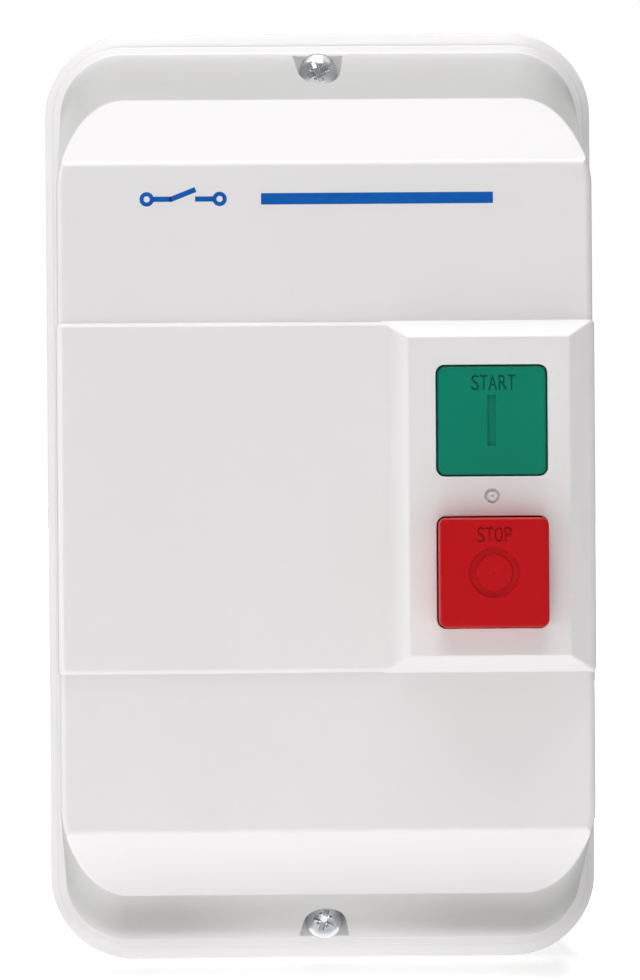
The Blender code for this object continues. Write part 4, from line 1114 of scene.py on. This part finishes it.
def make_case():
    case = case_solid()
    for sz in (1, -1):                                 # cover screw posts
        post = [(2.0, 5.4), (4.2, 4.9), (20.0, 4.7), (38.0, 4.6), (38.4, 4.2)]
        join(case, turned(post, 0.0, sz * SCREW_Z, 40))
        bore = [(8.0, 1.9), (37.8, 2.1), (38.2, 2.5), (40.0, 2.5)]
        cut(case, turned(bore, 0.0, sz * SCREW_Z, 32))
    for x in RAIL_SCREWS:
        join(case, turned([(2.0, 4.5), (3.2, 4.1), (8.0, 4.0)], x, RAIL_Z, 32))
        cut(case, rod(1.9, 1.2, 9.0, x, RAIL_Z, 24))
    join(case, turned([(2.0, 5.5), (3.2, 5.1), (7.7, 5.0)], EARTH_X, EARTH_Z, 32))
    cut(case, rod(2.0, 1.4, 9.0, EARTH_X, EARTH_Z, 24))
    for sx in (1, -1):
        for sz in (1, -1):
            # through hole near each corner
            join(case, turned([(2.0, 5.9), (4.3, 5.6), (4.6, 5.3)], sx * 40.0, sz * 76.0, 32))
            cut(case, rod(2.7, -1.0, 6.0, sx * 40.0, sz * 76.0, 32))
            # knock-out: ring groove and middle dimple
            ring = [(sz * z, r) for r, z in ((10.2, 91.7), (10.2, 96.0), (11.2, 96.0), (11.2, 91.7))]
            cut(case, turned_z(ring, sx * CABLE_X, CABLE_D, 56, ring=True))
            dimple = [(sz * 92.9, 1.1), (sz * 93.25, 1.1), (sz * 96.0, 1.6)]
            cut(case, turned_z(dimple, sx * CABLE_X, CABLE_D, 32))
            # moulded relief of the back
            relief = [(-1.0, 19.2, 28.7, 4.6), (0.0, 19.2, 28.7, 4.6), (0.55, 18.8, 28.3, 4.2)]
            cut(case, stack(relief, sx * 26.5, sz * 35.5, 8))
            for x, z in ((14.0, 14.0), (39.0, 57.0), (14.0, 57.0), (39.0, 14.0)):
                cut(case, rod(2.45, 0.3, 0.7, sx * x, sz * z, 28))
    for k in range(-2, 3):                             # ribs down the inside of the long walls
        rib = [(d, k * 27.0 + z) for d, z in ((2.4, -0.9), (30.0, -0.6), (30.8, -0.3),
                                              (30.8, 0.3), (30.0, 0.6), (2.4, 0.9))]
        for sx in (1, -1):
            join(case, prism_x(*sorted((sx * 50.72, sx * 52.2)), rib))
    return case


piece(make_case(), "rear_shell", "rear", "enclosure", "rear_case")


# ---- nodes of the frame, by material -------------------------------------------------------------
FRAME_LOOKS = {
    "rubber": "cover_gasket button_gasket screw_retaining_ring_top screw_retaining_ring_bottom",
    "zinc": "retainer_screw_left retainer_screw_right rail_screw_left rail_screw_right"
            " earth_screw line_screw_l1 line_screw_l2 line_screw_l3 load_screw_t1 load_screw_t2"
            " load_screw_t3 output_screw_1 output_screw_2 output_screw_3",
    "rail": "din_rail",
    "dark": "button_retainer start_contact_block contactor_base contact_carrier",
    "white": "start_contact_plunger coil_bobbin current_dial",
    "ivory": "contactor_body relay_housing",
    "core": "fixed_core armature_core",
    "winding": "coil_winding",
    "clear": "dial_cover",
    "blue": "reset_plunger",
    "red": "test_slider",
    "brass": "earth_terminal line_terminal_l1 line_terminal_l2 line_terminal_l3"
             " load_terminal_t1 load_terminal_t2 load_terminal_t3",
    "copper": "contact_bridge_l1 contact_bridge_l2 contact_bridge_l3"
              " relay_conductor_1 relay_conductor_2 relay_conductor_3",
    "wire": "wire_coil",
    "wire_red": "wire_start",
}


def dress(ob, name, look):
    ob.data.materials.clear()
    ob.data.materials.append(MATERIALS[look])
    modifier(ob, "weld", "WELD", merge_threshold=0.000002)
    if name != "earth_terminal":                       # its plate and clamp share a plane
        modifier(ob, "planar", "DECIMATE", decimate_type="DISSOLVE",
                 angle_limit=math.radians(0.6))
    modifier(ob, "edges", "BEVEL", width=0.0002, segments=2, limit_method="ANGLE",
             angle_limit=math.radians(32))
    modifier(ob, "close", "WELD", merge_threshold=0.000001)
    modifier(ob, "normals", "WEIGHTED_NORMAL", keep_sharp=True)
    ob.data.shade_smooth()


for look, names in FRAME_LOOKS.items():
    for name in names.split():
        if not NODES[name].hide_render:                # hidden nodes are left as they are
            dress(NODES[name], name, look)


# ---- studio: metres from here on -----------------------------------------------------------------
WHITE = (1.0, 1.0, 1.0, 1.0)


def floor_material():
    g = Surface("pale_floor")
    tone = g.mix(g.remap(g.noise(scale=9.0), span=(0.3, 0.7)), (0.93, 0.93, 0.93),
                 (0.95, 0.95, 0.95))
    # seen by the camera, the floor glows more away from the part
    distance = g.node("VectorMath", operation="LENGTH", Vector=g.place).outputs["Value"]
    away = g.remap(distance, span=(0.13, 0.55), to=(0.34, 1.0))
    seen = g.ray("Is Camera Ray")
    # a bright strip under the rim, where the part would shade the floor
    part = g.node("SeparateXYZ", Vector=g.place).outputs
    strip = g.times(g.remap(part["Y"], span=(-0.054, -0.049)),
                    g.remap(part["Y"], span=(-0.040, -0.036), to=(1.0, 0.0)))
    across = g.math("ABSOLUTE", part["X"])
    strip = g.times(strip, g.remap(across, span=(0.052, 0.060), to=(0.45, 0.0)))
    glow = g.math("ADD", g.times(away, seen), g.times(strip, g.math("SUBTRACT", 1.0, seen)))
    # a dark area behind the front, seen only in reflections
    flag = g.times(g.remap(part["Y"], span=(-0.076, -0.056), to=(0.0, 0.8)),
                   g.ray("Is Glossy Ray"))
    across = g.math("ABSOLUTE", part["X"])
    flag = g.times(flag, g.remap(across, span=(0.008, 0.030)))
    keep = g.math("SUBTRACT", 1.0, flag)
    g.set(Roughness=0.9, Specular_IOR_Level=0.1, Base_Color=g.mix(keep, (0.0, 0.0, 0.0), tone),
          Emission_Color=WHITE, Emission_Strength=g.times(g.math("ADD", glow, 0.20), keep))
    # clear from below and to shadow rays, so light from under the floor gets through
    opening = g.math("MAXIMUM", g.node("NewGeometry").outputs["Backfacing"],
                     g.ray("Is Shadow Ray"))
    through = g.node("BsdfTransparent").outputs[0]
    g.put(g.tree.nodes["Material Output"].inputs["Surface"],
          g.mix_shader(opening, g.bsdf.outputs[0], through))
    return g.material


def make_floor():
    """A round floor just under the part."""
    radius, count = 9.0, 96
    z = CAD_BOX[0][2] - 0.0004
    mesh = bpy.data.meshes.new("floor")
    points = [(x, y, z) for x, y in circle(radius, count)]
    mesh.from_pydata(points, [], [tuple(range(count))])
    ob = linked("floor", mesh)
    mesh.materials.append(floor_material())


def softbox(name, azimuth, elevation, watts):
    """A square soft light. Azimuth 0 is straight in front, positive to the right."""
    aim, distance, size = Vector((0.0, -0.08, 0.0)), 1.6, 0.8
    light = bpy.data.lights.new(name, "AREA")
    light.shape, light.size, light.size_y, light.energy = "RECTANGLE", size, size, watts
    ob = linked(name, light)
    a, e = math.radians(azimuth), math.radians(elevation)
    way = Vector((math.sin(a) * math.cos(e), -math.cos(a) * math.cos(e), math.sin(e)))
    ob.location = aim + way * distance
    ob.rotation_mode = "QUATERNION"
    ob.rotation_quaternion = (-way).to_track_quat("-Z", "Y")
    ob.visible_camera = False


def make_world():
    """White to the camera, dim as a light, and a studio of screens to shiny surfaces."""
    scene = bpy.context.scene
    world = scene.world or bpy.data.worlds.new("world")
    scene.world = world
    g = Graph(world)
    room = g.tree.nodes["Background"]
    g.put(room.inputs["Color"], WHITE)
    g.put(room.inputs["Strength"], 0.10)
    seen = g.node("Background", Color=WHITE, Strength=1.02)
    horizon, zenith, dark = 0.30, 0.92, 0.04           # brightness in reflections
    way = g.node("SeparateXYZ", Vector=g.node("TexCoord").outputs["Generated"]).outputs
    height = g.node("Math", operation="ABSOLUTE", Value=way["Z"]).outputs[0]
    # a dark flag behind the part keeps its long walls from glaring
    around = g.remap(way["Y"], span=(0.15, 0.60), to=(horizon, dark), smooth=True)
    screens = g.remap(height, span=(0.45, 0.90), to=(around, zenith), smooth=True)
    mirrored = g.node("Background", Color=WHITE, Strength=screens)
    rays = g.node("LightPath").outputs
    shiny = g.mix_shader(rays["Is Glossy Ray"], room.outputs[0], mirrored.outputs[0])
    g.put(g.tree.nodes["World Output"].inputs["Surface"],
          g.mix_shader(rays["Is Camera Ray"], shiny, seen.outputs[0]))


def make_camera():
    """A long lens in front of the part, rolled slightly."""
    data = bpy.data.cameras.new("camera")
    data.lens, data.sensor_width = 214.5, 36.0
    data.clip_start, data.clip_end = 0.05, 60.0
    cam = linked("camera", data)
    place = (-0.0199, -1.242, 0.0055)
    roll = math.radians(0.42)
    look = Vector((0.01652, 1.0, -0.00359)).normalized()
    level = look.cross(Vector((0, 0, 1))).normalized()
    upright = level.cross(look)
    right = level * math.cos(roll) - upright * math.sin(roll)
    up = upright * math.cos(roll) + level * math.sin(roll)
    rows = [(right[i], up[i], -look[i], place[i]) for i in range(3)]
    cam.matrix_world = Matrix((*rows, (0, 0, 0, 1)))
    bpy.context.scene.camera = cam


make_floor()
for name, azimuth, elevation, watts in (
    ("top_screen", 0, 85, 19.3),
    ("side_left", -75, 0, 8.7),
    ("key_front", 0, 45, 5.5),
    ("key_high_left", -40, 62, 3.6),
    ("under_front", 0, -65, 4.2),
    ("back", 180, 0, 7.0),
):
    softbox(name, azimuth, elevation, watts)
make_world()
bpy.context.scene.view_settings.view_transform = "Standard"
bpy.context.scene.view_settings.look = "None"
make_camera()
